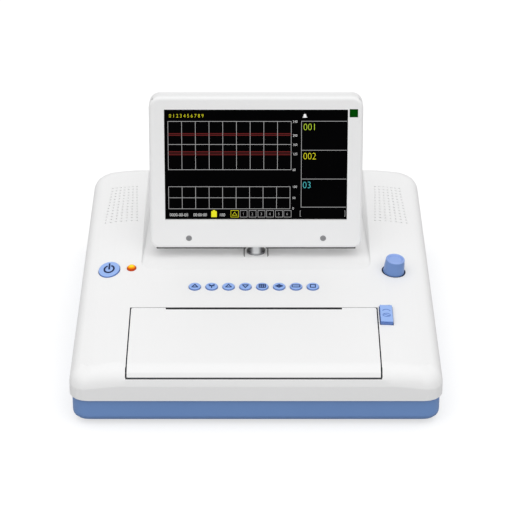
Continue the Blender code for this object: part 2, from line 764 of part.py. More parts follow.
def makeUpperCase():
    case = caseBlock("upper_case", BASE_TOP + GAP, 0.0, "white_shell")
    cut(case, wellBlock("well", 0.0))
    cut(case, sidePanelZone("side_window", 0.0, WALL + OVERRUN))
    cut(case, rearPanelZone("rear_window", 0.0, WALL + OVERRUN))
    cut(case, upperInside())
    cut(case, doorZone("door_opening", SEAM))
    sweep_start = (door_left - SEAM - GAP, door_pivot_y, door_pivot_z)
    cut(case, rod("door_sweep", sweep_start, door_width + 2 * (SEAM + GAP), DOOR_SWEEP_RADIUS * 2, axis=0))
    rod_room = DOOR_ROD_REACH + SEAM + GAP
    rod_start = (door_left - rod_room, door_pivot_y, door_pivot_z)
    cut(case, rod("rod_room", rod_start, door_width + 2 * rod_room, DOOR_ROD_DIAMETER + 2 * GAP, 0))
    for i, spot in enumerate(key_spots):
        cut(case, spotRod(f"key_hole_{i + 1}", spot, -WALL - OVERRUN / 2, OVERRUN, KEY_DIAMETER + 2 * GAP))
    low = -WALL - OVERRUN
    cut(case, spotRod("power_hole", power_spot, low, OVERRUN, POWER_DIAMETER + 2 * GAP, steps=ROUND_STEPS))
    cut(case, spotRod("lamp_hole", lamp_spot, low, OVERRUN, LAMP_DIAMETER + 2 * GAP))
    cut(case, spotRod("knob_cup", knob_spot, -KNOB_CUP_DEPTH, OVERRUN, KNOB_CUP_DIAMETER, steps=ROUND_STEPS))
    cut(case, spotRod("bush_hole", knob_spot, low, OVERRUN, ENCODER_BUSH_DIAMETER + 2 * GAP))
    cut(case, releaseBlock("release_hole", SEAM, low, OVERRUN))
    neck_hole = rod(
        "neck_hole",
        (0.0, pivot_y, WELL_FLOOR - WALL - OVERRUN),
        WALL + 2 * OVERRUN,
        NECK_SHANK_DIAMETER + 2 * GAP,
    )
    plate_seat = box(
        "plate_seat",
        (-COVER_WIDTH / 2 - SEAM, cover_front_y - GAP, WELL_FLOOR - COVER_THICKNESS),
        (COVER_WIDTH / 2 + SEAM, cover_front_y + COVER_LENGTH + GAP, WELL_FLOOR + OVERRUN),
    )
    cut(case, neck_hole, plate_seat)
    return case


def releaseBlock(name, grow, low, high, **options):
    half_width = RELEASE_WIDTH / 2 + grow
    half_length = RELEASE_LENGTH / 2 + grow
    low_corner = (-half_width, -half_length, low)
    return box(name, low_corner, (half_width, half_length, high), frame=release_spot, **options)


def cutRearHoles(panel):
    start_y = rear_panel_y - WALL - OVERRUN
    run = WALL + 2 * OVERRUN
    inlet = rod("inlet_hole", (INLET_X, start_y, REAR_PANEL_Z), run, INLET_DIAMETER + 2 * GAP, 1)
    ground = rod("ground_hole", (GROUND_X, start_y, REAR_PANEL_Z), run, GROUND_DIAMETER / 2 + 2 * GAP, 1)
    lan = portBlock("lan_hole", LAN_X, LAN_WIDTH, LAN_HEIGHT, GAP, start_y, start_y + run)
    usb = portBlock("usb_hole", USB_X, USB_WIDTH, USB_HEIGHT, GAP, start_y, start_y + run)
    cut(panel, inlet, ground, lan, usb)


def portBlock(name, x, width, height, grow, low_y, high_y, **options):
    return box(
        name,
        (x - width / 2 - grow, low_y, REAR_PANEL_Z - height / 2 - grow),
        (x + width / 2 + grow, high_y, REAR_PANEL_Z + height / 2 + grow),
        **options,
    )


def baseBlock(name, inset, top, finish=None):
    """The lower case's outer form with its rounded bottom edge, or the space inside it."""
    grow_in = BASE_INSET + inset
    bm = boxMesh((-1.0, -1.0, -1.0), (1.0, 1.0, 1.0))
    for vert in bm.verts:
        y = rear_y - grow_in if vert.co.y > 0 else front_y + grow_in
        z = top if vert.co.z > 0 else BASE_BOTTOM + inset
        vert.co = (math.copysign(halfWidth(y, BASE_TOP, grow_in), vert.co.x), y, z)
    bevelEdges(bm, edgesAlong(bm, 2), CORNER_RADIUS - grow_in, CORNER_STEPS)
    bottom = [e for e in bm.edges if max(v.co.z for v in e.verts) < BASE_BOTTOM + inset + GAP]
    bevelEdges(bm, bottom, BASE_ROUNDING - inset, SHELL_EDGE_STEPS)
    return addObject(name, bm, finish, smooth=True)


def standoffPlaces():
    """Where the main board's four standoffs stand."""
    for x_side in (-1, 1):
        for y_side in (-1, 1):
            x = MAIN_BOARD_X + x_side * (MAIN_BOARD_WIDTH / 2 - STANDOFF_INSET)
            yield x, main_board_y + y_side * (MAIN_BOARD_LENGTH / 2 - STANDOFF_INSET)


def framePosts():
    """Where the printer frame's posts stand, behind the paper tray's corners."""
    reach = FRAME_BASE_REACH - STANDOFF_DIAMETER / 2
    return [(PRINTER_X + side * reach, frame_rear_y - STANDOFF_DIAMETER / 2) for side in (-1, 1)]


def makeLowerCase():
    case = baseBlock("lower_case", 0.0, BASE_TOP, "blue_shell")
    inside = baseBlock("lower_inside", WALL, BASE_TOP + OVERRUN)
    for i, (x, y) in enumerate(standoffPlaces()):
        start = (x, y, BASE_BOTTOM)
        run = WALL + STANDOFF_HEIGHT
        cut(inside, rod(f"standoff_{i}", start, run, STANDOFF_DIAMETER, steps=BOSS_STEPS))
    cut(case, inside)
    for i, (x, y) in enumerate(framePosts()):
        start = (x, y, floor_top - WALL / 2)
        run = FRAME_BASE_BOTTOM - GAP - start[2]
        join(case, rod(f"post_{i}", start, run, STANDOFF_DIAMETER, steps=BOSS_STEPS))
    for label, x in (("left", PRINTER_X + LUG_START), ("right", release_x + LUG_FROM_RELEASE)):
        bottom = floor_top - WALL / 2
        top = LEVER_HEIGHT + LUG_DEPTH / 2
        join(case, centredBox(f"lug_{label}", x, lever_y, LUG_THICKNESS, LUG_DEPTH, bottom, top))
        hole_start = (x - LUG_THICKNESS, lever_y, LEVER_HEIGHT)
        cut(case, rod(f"lug_hole_{label}", hole_start, 2 * LUG_THICKNESS, LEVER_BAR_DIAMETER + 2 * GAP, 0))
    hatch_width = BATTERY_WIDTH - 2 * BATTERY_COVER_LAP
    hatch_length = BATTERY_LENGTH - 2 * BATTERY_COVER_LAP
    above = floor_top + OVERRUN
    hatch = centredBox("battery_hatch", BATTERY_X, battery_y, hatch_width, hatch_length, 0.0, above)
    ledge = centredBox(
        "battery_ledge",
        BATTERY_X,
        battery_y,
        BATTERY_WIDTH + 2 * GAP,
        BATTERY_LENGTH + 2 * GAP,
        0.0,
        BASE_BOTTOM + BATTERY_COVER_THICKNESS - GAP,
    )
    return cut(case, hatch, ledge)


def centredBox(name, x, y, width, length, low, high, **options):
    return box(name, (x - width / 2, y - length / 2, low), (x + width / 2, y + length / 2, high), **options)


def makeFeet():
    number = 0
    for y_side in (-1, 1):
        for x_side in (-1, 1):
            number += 1
            y = y_side * (CASE_DEPTH / 2 - FOOT_FROM_END)
            x = x_side * (halfWidth(y, BASE_BOTTOM) - FOOT_FROM_SIDE)
            height = BASE_BOTTOM - GAP
            place = (x, y, 0.0)
            rod(f"foot_{number}", place, height, FOOT_DIAMETER, finish="foot_rubber", steps=ROUND_STEPS)


def makeBattery():
    cover_top = BASE_BOTTOM + BATTERY_COVER_THICKNESS - 2 * GAP
    centredBox(
        "battery_cover",
        BATTERY_X,
        battery_y,
        BATTERY_WIDTH,
        BATTERY_LENGTH,
        BASE_BOTTOM,
        cover_top,
        finish="blue_shell",
    )
    centredBox(
        "battery_pack",
        BATTERY_X,
        battery_y,
        BATTERY_WIDTH,
        BATTERY_LENGTH,
        floor_top + GAP,
        floor_top + GAP + BATTERY_HEIGHT,
        finish="battery_wrap",
        corner=BATTERY_CORNER,
    )


def makeMainBoard():
    low = floor_top + STANDOFF_HEIGHT + GAP
    centredBox(
        "main_board",
        MAIN_BOARD_X,
        main_board_y,
        MAIN_BOARD_WIDTH,
        MAIN_BOARD_LENGTH,
        low,
        low + BOARD_THICKNESS,
        finish="circuit_board",
    )


def makeKeyBoard():
    y = alongDeck(key_y)
    centredBox(
        "key_board",
        PRINTER_X,
        y,
        KEY_BOARD_WIDTH,
        KEY_BOARD_LENGTH,
        key_board_top - BOARD_THICKNESS,
        key_board_top,
        finish="circuit_board",
        frame=deck,
    )


def pushButton(name, spot, rise, length, diameter, flange_diameter, steps):
    """A round cap with a wider flange that holds it under the deck."""
    low = rise - length
    cap = spotRod(name, spot, low, rise, diameter, steps=steps, edge=KEY_EDGE)
    flange = spotRod(f"{name}_flange", spot, low, low + KEY_FLANGE_THICKNESS, flange_diameter)
    union(name, "blue_key", spot, cap, flange)


def makeKeys():
    for i, spot in enumerate(key_spots):
        name = f"key_{i + 1}"
        pushButton(name, spot, KEY_RISE, key_length, KEY_DIAMETER, KEY_FLANGE_DIAMETER, BEAD_STEPS)


def makePowerButton():
    flange = POWER_DIAMETER + 2 * PLAY
    pushButton("power_button", power_spot, POWER_RISE, power_length, POWER_DIAMETER, flange, ROUND_STEPS)


def makeLamp():
    low = LAMP_RISE - LAMP_LENGTH
    spotRod("alarm_lamp", lamp_spot, low, LAMP_RISE, LAMP_DIAMETER, finish="amber_lens", edge=LAMP_RISE / 2)


def makeKnob():
    spot = knob_spot
    knob = rod(
        "knob",
        (0.0, 0.0, -KNOB_SINK),
        KNOB_HEIGHT,
        KNOB_BASE_DIAMETER,
        finish="blue_key",
        frame=spot,
        steps=ROUND_STEPS,
        end=KNOB_TOP_DIAMETER,
        edge=KNOB_EDGE,
    )
    shaft_top = KNOB_BORE_DEPTH - KNOB_SINK
    shaft_hole = ENCODER_SHAFT_DIAMETER + 2 * GAP
    cut(knob, spotRod("knob_bore", spot, -KNOB_SINK - OVERRUN, shaft_top, shaft_hole))
    body_top = -WALL - GAP
    bush_top = -KNOB_SINK - KNOB_TRAVEL - GAP
    bush = spotRod("encoder_bush", spot, body_top - GAP, bush_top, ENCODER_BUSH_DIAMETER)
    half = ENCODER_BODY_WIDTH / 2
    body_bottom = body_top - ENCODER_BODY_HEIGHT
    can = box("encoder_can", (-half, -half, body_bottom), (half, half, body_top), frame=spot)
    union("encoder_body", "grey_plastic", spot, can, bush)
    well_bottom = body_bottom + ENCODER_STROKE_ROOM
    cut(can, spotRod("encoder_bore", spot, well_bottom, KNOB_HEIGHT, shaft_hole))
    low = well_bottom + KNOB_TRAVEL + GAP
    high = shaft_top - GAP
    spotRod("encoder_plunger", spot, low, high, ENCODER_SHAFT_DIAMETER, finish="steel")


def makeSpeakers():
    half_x = speaker_width / 2
    half_y = SPEAKER_LENGTH / 2
    top = -WALL - 2 * GAP - half_x**2 / (2 * CROWN_RADIUS)
    for side, name in ((-1, "speaker_left"), (1, "speaker_right")):
        spot = deckSpot(f"{name}_frame", side * speaker_x, speaker_y)
        box(name, (-half_x, -half_y, top - SPEAKER_DEPTH), (half_x, half_y, top), "black_plastic", spot,
            corner=SPEAKER_CORNER)


# Display parts are set out from the tilt axis: y back from it, z up the display.
display = makeFrame("display_frame", (0.0, pivot_y, PIVOT_HEIGHT), -DISPLAY_LEAN)
display_front = -PIVOT_FROM_FRONT
display_back = DISPLAY_DEPTH - PIVOT_FROM_FRONT
display_bottom = -PIVOT_FROM_BOTTOM
display_top = display_height - PIVOT_FROM_BOTTOM
bezel_back = display_front + BEZEL_DEPTH
glass_front = display_front + DISPLAY_WALL + GAP
glass_back = glass_front + GLASS_THICKNESS
panel_front = glass_back + GAP
bracket_front = panel_front + PANEL_THICKNESS + GAP
bracket_back = bracket_front + EAR_THICKNESS
bezel_screw_x = display_width / 2 - BEZEL_SCREW_FROM_SIDE
status_x = display_width / 2 - STATUS_FROM_SIDE
window_bottom = display_bottom + WINDOW_FROM_BOTTOM
window_top = window_bottom + WINDOW_HEIGHT


def displayShell(name, front, back, rounded_back, finish):
    """One half of the display's housing, with its outer rim rounded."""
    half = display_width / 2
    bm = boxMesh((-half, front, display_bottom), (half, back, display_top))
    bevelEdges(bm, edgesAlong(bm, 1), DISPLAY_CORNER, CORNER_STEPS)
    face_y = back if rounded_back else front
    rim = [e for e in bm.edges if all(abs(v.co.y - face_y) < GAP for v in e.verts)]
    bevelEdges(bm, rim, DISPLAY_EDGE, SHELL_EDGE_STEPS)
    return addObject(name, bm, finish, display, smooth=True)


def displayInside(name, front, back):
    inner = DISPLAY_WALL
    half = display_width / 2 - inner
    return box(name, (-half, front, display_bottom + inner), (half, back, display_top - inner), frame=display,
               corner=DISPLAY_CORNER - inner, corner_axis=1)


def hingePocket():
    half = HINGE_POCKET_WIDTH / 2
    lip_back = display_front + HINGE_FRONT_LIP
    return box("hinge_pocket", (-half, lip_back, display_bottom - OVERRUN),
               (half, display_back + OVERRUN, HINGE_POCKET_TOP), frame=display)


def makeBezel():
    bezel = displayShell("display_bezel", display_front, bezel_back, False, "white_shell")
    inside_front = display_front + DISPLAY_WALL
    cut(bezel, displayInside("bezel_inside", inside_front, bezel_back + OVERRUN))
    half = WINDOW_WIDTH / 2
    window = box("window", (-half, display_front - OVERRUN, window_bottom), (half, bezel_back, window_top),
                 frame=display)
    cut(bezel, window, hingePocket())
    half_status = STATUS_SIZE / 2 + GAP
    status_z = display_top - STATUS_FROM_TOP
    status = box("status_hole", (status_x - half_status, display_front - OVERRUN, status_z - half_status),
                 (status_x + half_status, inside_front + OVERRUN, status_z + half_status), frame=display)
    cut(bezel, status)
    for side, label in ((-1, "left"), (1, "right")):
        x = side * bezel_screw_x
        z = display_bottom + BEZEL_SCREW_FROM_BOTTOM
        head_room = BEZEL_SCREW_HEAD_DEPTH + GAP
        head = rod(f"head_hole_{label}", (x, display_front - OVERRUN, z), OVERRUN + head_room,
                   BEZEL_SCREW_HEAD + 2 * GAP, 1, frame=display)
        shank = rod(f"shank_hole_{label}", (x, display_front - OVERRUN, z), OVERRUN + BEZEL_DEPTH,
                    BEZEL_SCREW_SHANK + 2 * GAP, 1, frame=display)
        cut(bezel, head, shank)


def makeDisplayFront():
    half = WINDOW_WIDTH / 2 + GLASS_LAP
    low = window_bottom - GLASS_LAP
    high = window_top + GLASS_LAP
    box("display_glass", (-half, glass_front, low), (half, glass_back, high), "screen_glass", display)
    edge = PANEL_MARGIN
    box("lcd_module", (-half - edge + GLASS_LAP, panel_front, low + GAP), (half + edge - GLASS_LAP,
        panel_front + PANEL_THICKNESS, high + edge / 2), "steel", display)
    half_status = STATUS_SIZE / 2
    status_z = display_top - STATUS_FROM_TOP
    status_back = display_front + STATUS_DEPTH
    box("status_window", (status_x - half_status, display_front, status_z - half_status),
        (status_x + half_status, status_back, status_z + half_status), "green_window", display)
    for side, label in ((-1, "left"), (1, "right")):
        x = side * bezel_screw_x
        z = display_bottom + BEZEL_SCREW_FROM_BOTTOM
        head_start = (x, display_front, z)
        shank_start = (x, display_front + GAP, z)
        head = rod("screw_head", head_start, BEZEL_SCREW_HEAD_DEPTH, BEZEL_SCREW_HEAD, 1, frame=display)
        shank = rod("screw_shank", shank_start, BEZEL_SCREW_LENGTH, BEZEL_SCREW_SHANK, 1, frame=display,
                    steps=BOSS_STEPS)
        union(f"bezel_screw_{label}", "steel", display, head, shank)


def makeRearCover():
    cover = displayShell("display_rear_cover", bezel_back + GAP, display_back, True, "white_shell")
    inside_back = display_back - DISPLAY_WALL
    inside = displayInside("cover_inside", bezel_back - OVERRUN, inside_back)
    for side in (-1, 1):
        x = side * BRACKET_BOSS_SPACING / 2
        start = (x, bracket_back + GAP, EAR_ARM_TOP - BRACKET_BOSS_DIAMETER)
        boss = rod(f"bracket_boss_{side}", start, display_back, BRACKET_BOSS_DIAMETER, 1, frame=display,
                   steps=BOSS_STEPS)
        cut(inside, boss)
    cut(cover, inside, hingePocket())


def makeHingeBracket():
    """Two ears on the tilt axis, joined by a plate above the barrel."""
    outer = NECK_BARREL_LENGTH / 2 + PLAY + EAR_THICKNESS
    inner = outer - EAR_THICKNESS
    plate = box("plate", (-outer, bracket_front, BRACKET_PLATE_BOTTOM), (outer, bracket_back, EAR_ARM_TOP),
                frame=display)
    union("hinge_bracket", "steel", display, plate)
    for side, low, high in (("left", -outer, -inner), ("right", inner, outer)):
        ear = rod(f"ear_{side}", (low, 0.0, 0.0), EAR_THICKNESS, EAR_RADIUS * 2, 0, frame=display)
        arm = box(f"arm_{side}", (low, bracket_front, 0.0), (high, bracket_back, BRACKET_PLATE_BOTTOM + WALL),
                  frame=display)
        join(plate, ear, arm)
    hole_run = 2 * (outer + OVERRUN)
    hole = HINGE_SHAFT_DIAMETER + 2 * GAP
    cut(plate, rod("ear_hole", (-outer - OVERRUN, 0.0, 0.0), hole_run, hole, 0, frame=display))
    rod("hinge_shaft", (-outer, 0.0, 0.0), 2 * outer, HINGE_SHAFT_DIAMETER, 0, "steel", display)


def makeHingeNeck():
    seat = WELL_FLOOR + GAP
    disc_height = NECK_DISC_TOP - seat
    disc = rod("hinge_neck", (0.0, pivot_y, seat), disc_height, NECK_DISC_DIAMETER, steps=ROUND_STEPS)
    shank = rod("neck_shank", (0.0, pivot_y, WELL_FLOOR - NECK_SHANK_LENGTH), NECK_SHANK_LENGTH + WALL,
                NECK_SHANK_DIAMETER)
    stem = box("neck_stem", (-NECK_STEM_WIDTH / 2, pivot_y - NECK_STEM_DEPTH / 2, NECK_DISC_TOP - WALL),
               (NECK_STEM_WIDTH / 2, pivot_y + NECK_STEM_DEPTH / 2, PIVOT_HEIGHT))
    half = NECK_BARREL_LENGTH / 2
    barrel = rod("neck_barrel", (-half, pivot_y, PIVOT_HEIGHT), 2 * half, NECK_BARREL_DIAMETER, 0)
    union("hinge_neck", "grey_hinge", None, disc, shank, stem, barrel)
    bore = rod("neck_bore", (-half - OVERRUN, pivot_y, PIVOT_HEIGHT), 2 * (half + OVERRUN),
               HINGE_SHAFT_DIAMETER + 2 * GAP, 0)
    cut(disc, bore)
    cover = box("hinge_cover", (-COVER_WIDTH / 2, cover_front_y, WELL_FLOOR - COVER_THICKNESS + GAP),
                (COVER_WIDTH / 2, cover_front_y + COVER_LENGTH, WELL_FLOOR), "white_shell")
    hole_start = (0.0, pivot_y, WELL_FLOOR - OVERRUN)
    cut(cover, rod("cover_hole", hole_start, 2 * OVERRUN, NECK_SHANK_DIAMETER + 2 * GAP))


door = makeFrame("door_frame", (0.0, door_pivot_y, door_pivot_z))


def doorPoint(x, y, z):
    """A place on the case, measured from the door's pivot."""
    return x, y - door_pivot_y, z - door_pivot_z


def makeDoor():
    skin = caseBlock("paper_door", BASE_TOP + GAP, 0.0, "white_shell")
    boolean(skin, doorZone("door_zone", 0.0), "INTERSECT")
    cut(skin, caseBlock("door_inside", BASE_TOP - OVERRUN, DOOR_THICKNESS))
    half_slot = SLOT_WIDTH / 2
    slot = box("paper_slot", (PRINTER_X - half_slot, door_rear_y - SLOT_DEPTH, PLATEN_HEIGHT),
               (PRINTER_X + half_slot, door_rear_y + OVERRUN, DECK_REAR_HEIGHT))
    cut(skin, slot)
    for side, label in ((-1, "left"), (1, "right")):
        inner = PRINTER_X + side * DOOR_RIB_INNER
        outer = inner + side * DOOR_RIB_THICKNESS
        middle = (inner + outer) / 2
        low = PLATEN_HEIGHT - DOOR_RIB_DROP
        high = deckHeight(platen_y) - DOOR_THICKNESS / 2 - DOOR_RIB_DEPTH / 2 * deck_rise
        name = f"door_rib_{label}"
        join(skin, centredBox(name, middle, platen_y, DOOR_RIB_THICKNESS, DOOR_RIB_DEPTH, low, high))
    bead_start = (door_left, door_pivot_y, door_pivot_z)
    join(skin, rod("door_bead", bead_start, door_width, DOOR_BEAD_DIAMETER, 0, steps=BEAD_STEPS))
    shaft_start = (PRINTER_X - FRAME_CHEEK_INNER, platen_y, PLATEN_HEIGHT)
    cut(skin, rod("shaft_hole", shaft_start, 2 * FRAME_CHEEK_INNER, PLATEN_SHAFT_DIAMETER + 2 * GAP, 0))
    bore_start = (door_left - OVERRUN, door_pivot_y, door_pivot_z)
    cut(skin, rod("rod_bore", bore_start, door_width + 2 * OVERRUN, DOOR_ROD_DIAMETER + 2 * GAP, 0))
    rod_start = doorPoint(door_left - DOOR_ROD_REACH, door_pivot_y, door_pivot_z)
    rod("door_rod", rod_start, door_width + 2 * DOOR_ROD_REACH, DOOR_ROD_DIAMETER, 0, "steel", door)


def gearBlank(name, teeth, turn, finish, frame, x, bore=0.0, shaft=0.0, shaft_length=0.0):
    """A spur gear about X. Its outline has six points a tooth, from root to tip and back."""
    pitch_radius = teeth * GEAR_MODULE / 2
    root = pitch_radius - TOOTH_ROOT_SHARE * GEAR_MODULE
    tip = pitch_radius + TOOTH_TIP_SHARE * GEAR_MODULE
    tooth_angle = 2 * math.pi / teeth
    slack = GEAR_BACKLASH / pitch_radius / 2
    base_half = tooth_angle * ROOT_HALF_SHARE - slack
    pitch_half = tooth_angle * PITCH_HALF_SHARE - slack
    tip_half = tooth_angle * TIP_HALF_SHARE - slack / 2
    bm = bmesh.new()
    rim = []
    for i in range(teeth):
        middle = i * tooth_angle + turn
        steps = (
            (middle - base_half, root),
            (middle - pitch_half, pitch_radius),
            (middle - tip_half, tip),
            (middle + tip_half, tip),
            (middle + pitch_half, pitch_radius),
            (middle + base_half, root),
        )
        for angle, radius in steps:
            rim.append(bm.verts.new((0.0, radius * math.cos(angle), radius * math.sin(angle))))
    face = bm.faces.new(rim)
    body = bmesh.ops.extrude_face_region(bm, geom=[face])
    raised = [v for v in body["geom"] if isinstance(v, bmesh.types.BMVert)]
    bmesh.ops.translate(bm, verts=raised, vec=(GEAR_WIDTH, 0.0, 0.0))
    bmesh.ops.translate(bm, verts=bm.verts, vec=(x, 0.0, 0.0))
    bmesh.ops.recalc_face_normals(bm, faces=bm.faces)
    gear = addObject(name, bm, finish, frame)
    if bore:
        start = (x - OVERRUN, 0.0, 0.0)
        cut(gear, rod(f"{name}_bore", start, GEAR_WIDTH + 2 * OVERRUN, bore, 0, frame=frame))
    if shaft:
        join(gear, rod(f"{name}_shaft", (x + GEAR_WIDTH / 2, 0.0, 0.0), shaft_length, shaft, 0, frame=frame))
    return gear


def meshTurn(driver_turn, driver_teeth, teeth, line_angle):
    """The turn that sets a gear's gap on the driver's tooth, along the line between their axes."""
    driver_phase = (line_angle - driver_turn) / (2 * math.pi / driver_teeth)
    own_step = 2 * math.pi / teeth
    return line_angle + math.pi + own_step * (driver_phase + 0.5)


def makeGears():
    platen = makeFrame("platen_frame", (0.0, platen_y, PLATEN_HEIGHT))
    idler = makeFrame("idler_frame", (0.0, idler_y, idler_z))
    pinion = makeFrame("pinion_frame", (0.0, pinion_y, pinion_z))
    down = math.atan2(idler_z - PLATEN_HEIGHT, idler_y - platen_y)
    idler_turn = meshTurn(0.0, PLATEN_TEETH, IDLER_TEETH, down)
    pinion_turn = meshTurn(idler_turn, IDLER_TEETH, PINION_TEETH, PINION_ANGLE)
    half = PLATEN_LENGTH / 2
    shaft_hole = PLATEN_SHAFT_DIAMETER + 2 * GAP
    roller_start = (PRINTER_X - half, 0.0, 0.0)
    roller = rod("platen_roller", roller_start, PLATEN_LENGTH, PLATEN_DIAMETER, 0, "roller_rubber", platen,
                 ROUND_STEPS)
    bore_start = (PRINTER_X - half - OVERRUN, 0.0, 0.0)
    bore_run = PLATEN_LENGTH + 2 * OVERRUN
    cut(roller, rod("roller_bore", bore_start, bore_run, shaft_hole, 0, frame=platen))
    rod("platen_shaft", (PRINTER_X - PLATEN_SHAFT_LEFT, 0.0, 0.0), PLATEN_SHAFT_LEFT + PLATEN_SHAFT_RIGHT,
        PLATEN_SHAFT_DIAMETER, 0, "steel", platen)
    gearBlank("platen_gear", PLATEN_TEETH, 0.0, "gear_plastic", platen, gear_x, bore=shaft_hole)
    gearBlank("idler_gear", IDLER_TEETH, idler_turn, "gear_plastic", idler, gear_x,
              bore=IDLER_AXLE_DIAMETER + 2 * GAP)
    reach = motor_reach + MOTOR_BORE_DEPTH - GAP - GEAR_START - GEAR_WIDTH / 2
    gearBlank("motor_pinion", PINION_TEETH, pinion_turn, "gear_plastic", pinion, gear_x,
              shaft=PINION_SHAFT_DIAMETER, shaft_length=reach)
    motor_x = PRINTER_X + motor_reach
    motor_start = (motor_x, 0.0, 0.0)
    motor = rod("stepper_motor", motor_start, MOTOR_LENGTH, MOTOR_DIAMETER, 0, "steel", pinion, ROUND_STEPS)
    cut(motor, rod("motor_bore", (motor_x - OVERRUN, 0.0, 0.0), MOTOR_BORE_DEPTH + OVERRUN,
                   PINION_SHAFT_DIAMETER + 2 * GAP, 0, frame=pinion))


def framePlate(name, low_x, high_x, low_y, high_y, low_z, high_z):
    return box(name, (PRINTER_X + low_x, low_y, low_z), (PRINTER_X + high_x, high_y, high_z))


def gearRoom(name, y, z, pitch_radius):
    """The space that a gear turns in, cut from the frame's base."""
    reach = pitch_radius + GEAR_MODULE + PLAY
    return rod(name, (gear_x - PLAY, y, z), GEAR_WIDTH + 2 * PLAY, 2 * reach, 0, steps=ROUND_STEPS)


def makePrinterFrame():
    """Base plate, two notched cheeks, the beam behind the head and the motor's plate."""
    bury = FRAME_BASE_THICKNESS / 2
    cheek_end = FRAME_CHEEK_INNER + FRAME_CHEEK_THICKNESS
    lift = FRAME_BASE_BOTTOM + bury / 2
    base_end = MOTOR_PLATE_START + bury
    base_top = FRAME_BASE_BOTTOM + FRAME_BASE_THICKNESS
    frame = framePlate("frame_base", -FRAME_BASE_REACH, base_end, frame_front_y, frame_rear_y,
                       FRAME_BASE_BOTTOM, base_top)
    union("printer_frame", "steel", None, frame)
    cut(frame, gearRoom("idler_room", idler_y, idler_z, idler_pitch_radius))
    cut(frame, gearRoom("pinion_room", pinion_y, pinion_z, pinion_pitch_radius))
    cheeks = (("left", -cheek_end, -FRAME_CHEEK_INNER), ("right", FRAME_CHEEK_INNER, cheek_end))
    for label, low, high in cheeks:
        rear = frame_rear_y - bury
        cheek = framePlate(f"cheek_{label}", low, high, cheek_front_y, rear, lift, FRAME_CHEEK_TOP)
        join(frame, cheek)
    join(frame, framePlate("head_beam", -cheek_end + bury, cheek_end - bury, beam_front_y,
                           beam_front_y + FRAME_BEAM_THICKNESS, lift, FRAME_BEAM_TOP))
    motor_plate_end = MOTOR_PLATE_START + MOTOR_PLATE_THICKNESS
    join(frame, framePlate("motor_plate", MOTOR_PLATE_START, motor_plate_end, frame_front_y + bury,
                           frame_rear_y - bury, lift, MOTOR_PLATE_TOP))
    axle_start = (PRINTER_X + FRAME_CHEEK_INNER + bury, idler_y, idler_z)
    axle_run = GEAR_START + GEAR_WIDTH - FRAME_CHEEK_INNER - bury
    join(frame, rod("idler_axle", axle_start, axle_run, IDLER_AXLE_DIAMETER, 0))
    notch_low = PLATEN_HEIGHT - PLATEN_SHAFT_DIAMETER / 2 - PLAY
    notch_front = platen_y - FRAME_NOTCH_WIDTH / 2
    notch_high = FRAME_CHEEK_TOP + OVERRUN
    notch = framePlate("shaft_notch", -cheek_end - OVERRUN, cheek_end + PLAY, notch_front,
                       notch_front + FRAME_NOTCH_WIDTH, notch_low, notch_high)
    pinion_hole = rod("pinion_hole", (PRINTER_X + GEAR_START + GEAR_WIDTH, pinion_y, pinion_z), OVERRUN * 2,
                      PINION_SHAFT_DIAMETER + 4 * GAP, 0)
    cut(frame, notch, pinion_hole)


def makePrintHead():
    half = PLATEN_LENGTH / 2
    back = beam_front_y - GAP
    low = (PRINTER_X - half, back - HEAD_THICKNESS, HEAD_BOTTOM)
    box("print_head", low, (PRINTER_X + half, back, HEAD_TOP), "black_plastic")


def makeTray():
    half = tray_width / 2
    low = floor_top + GAP
    tray = box("tray_outer", (PRINTER_X - half, tray_front_y, low),
               (PRINTER_X + half, tray_rear_y, TRAY_WALL_TOP))
    union("paper_tray", "grey_plastic", None, tray)
    room = box("tray_room", (PRINTER_X - half + TRAY_WALL, tray_front_y + TRAY_WALL, low + TRAY_WALL),
               (PRINTER_X + half - TRAY_WALL, tray_rear_y - TRAY_WALL, TRAY_WALL_TOP + OVERRUN))
    step = box("tray_step", (PRINTER_X - half - OVERRUN, tray_step_y, TRAY_LOW_TOP),
               (PRINTER_X + half + OVERRUN, tray_rear_y + OVERRUN, TRAY_WALL_TOP + OVERRUN))
    cut(tray, room, step)
    paper_low = low + TRAY_WALL + GAP
    paper_y = (tray_front_y + tray_rear_y) / 2
    paper_high = paper_low + PAPER_HEIGHT
    centredBox("paper_pack", PRINTER_X, paper_y, PAPER_WIDTH, PAPER_DEPTH, paper_low, paper_high,
               finish="chart_paper")


def makeRelease():
    """The push button by the door, with a stem that presses the lever's arm."""
    bottom = release_rise - RELEASE_SKIRT
    button = releaseBlock("release_button", 0.0, bottom, release_rise, corner=RELEASE_EDGE * 2,
                          edge=RELEASE_EDGE)
    stem_y = alongDeck(release_stem_y) - alongDeck(release_y)
    half = RELEASE_STEM_WIDTH / 2
    arm_top = LEVER_HEIGHT + LEVER_ARM_THICKNESS / 2
    stem_top = deckHeight(release_stem_y) - crownDrop(release_x)
    stem_bottom = (arm_top + 2 * GAP - stem_top) / math.cos(deck_angle)
    stem_low = (-half, stem_y - half / 2, stem_bottom)
    stem = box("release_stem", stem_low, (half, stem_y + half / 2, bottom + WALL), frame=release_spot)
    union("release_button", "blue_key", release_spot, button, stem)


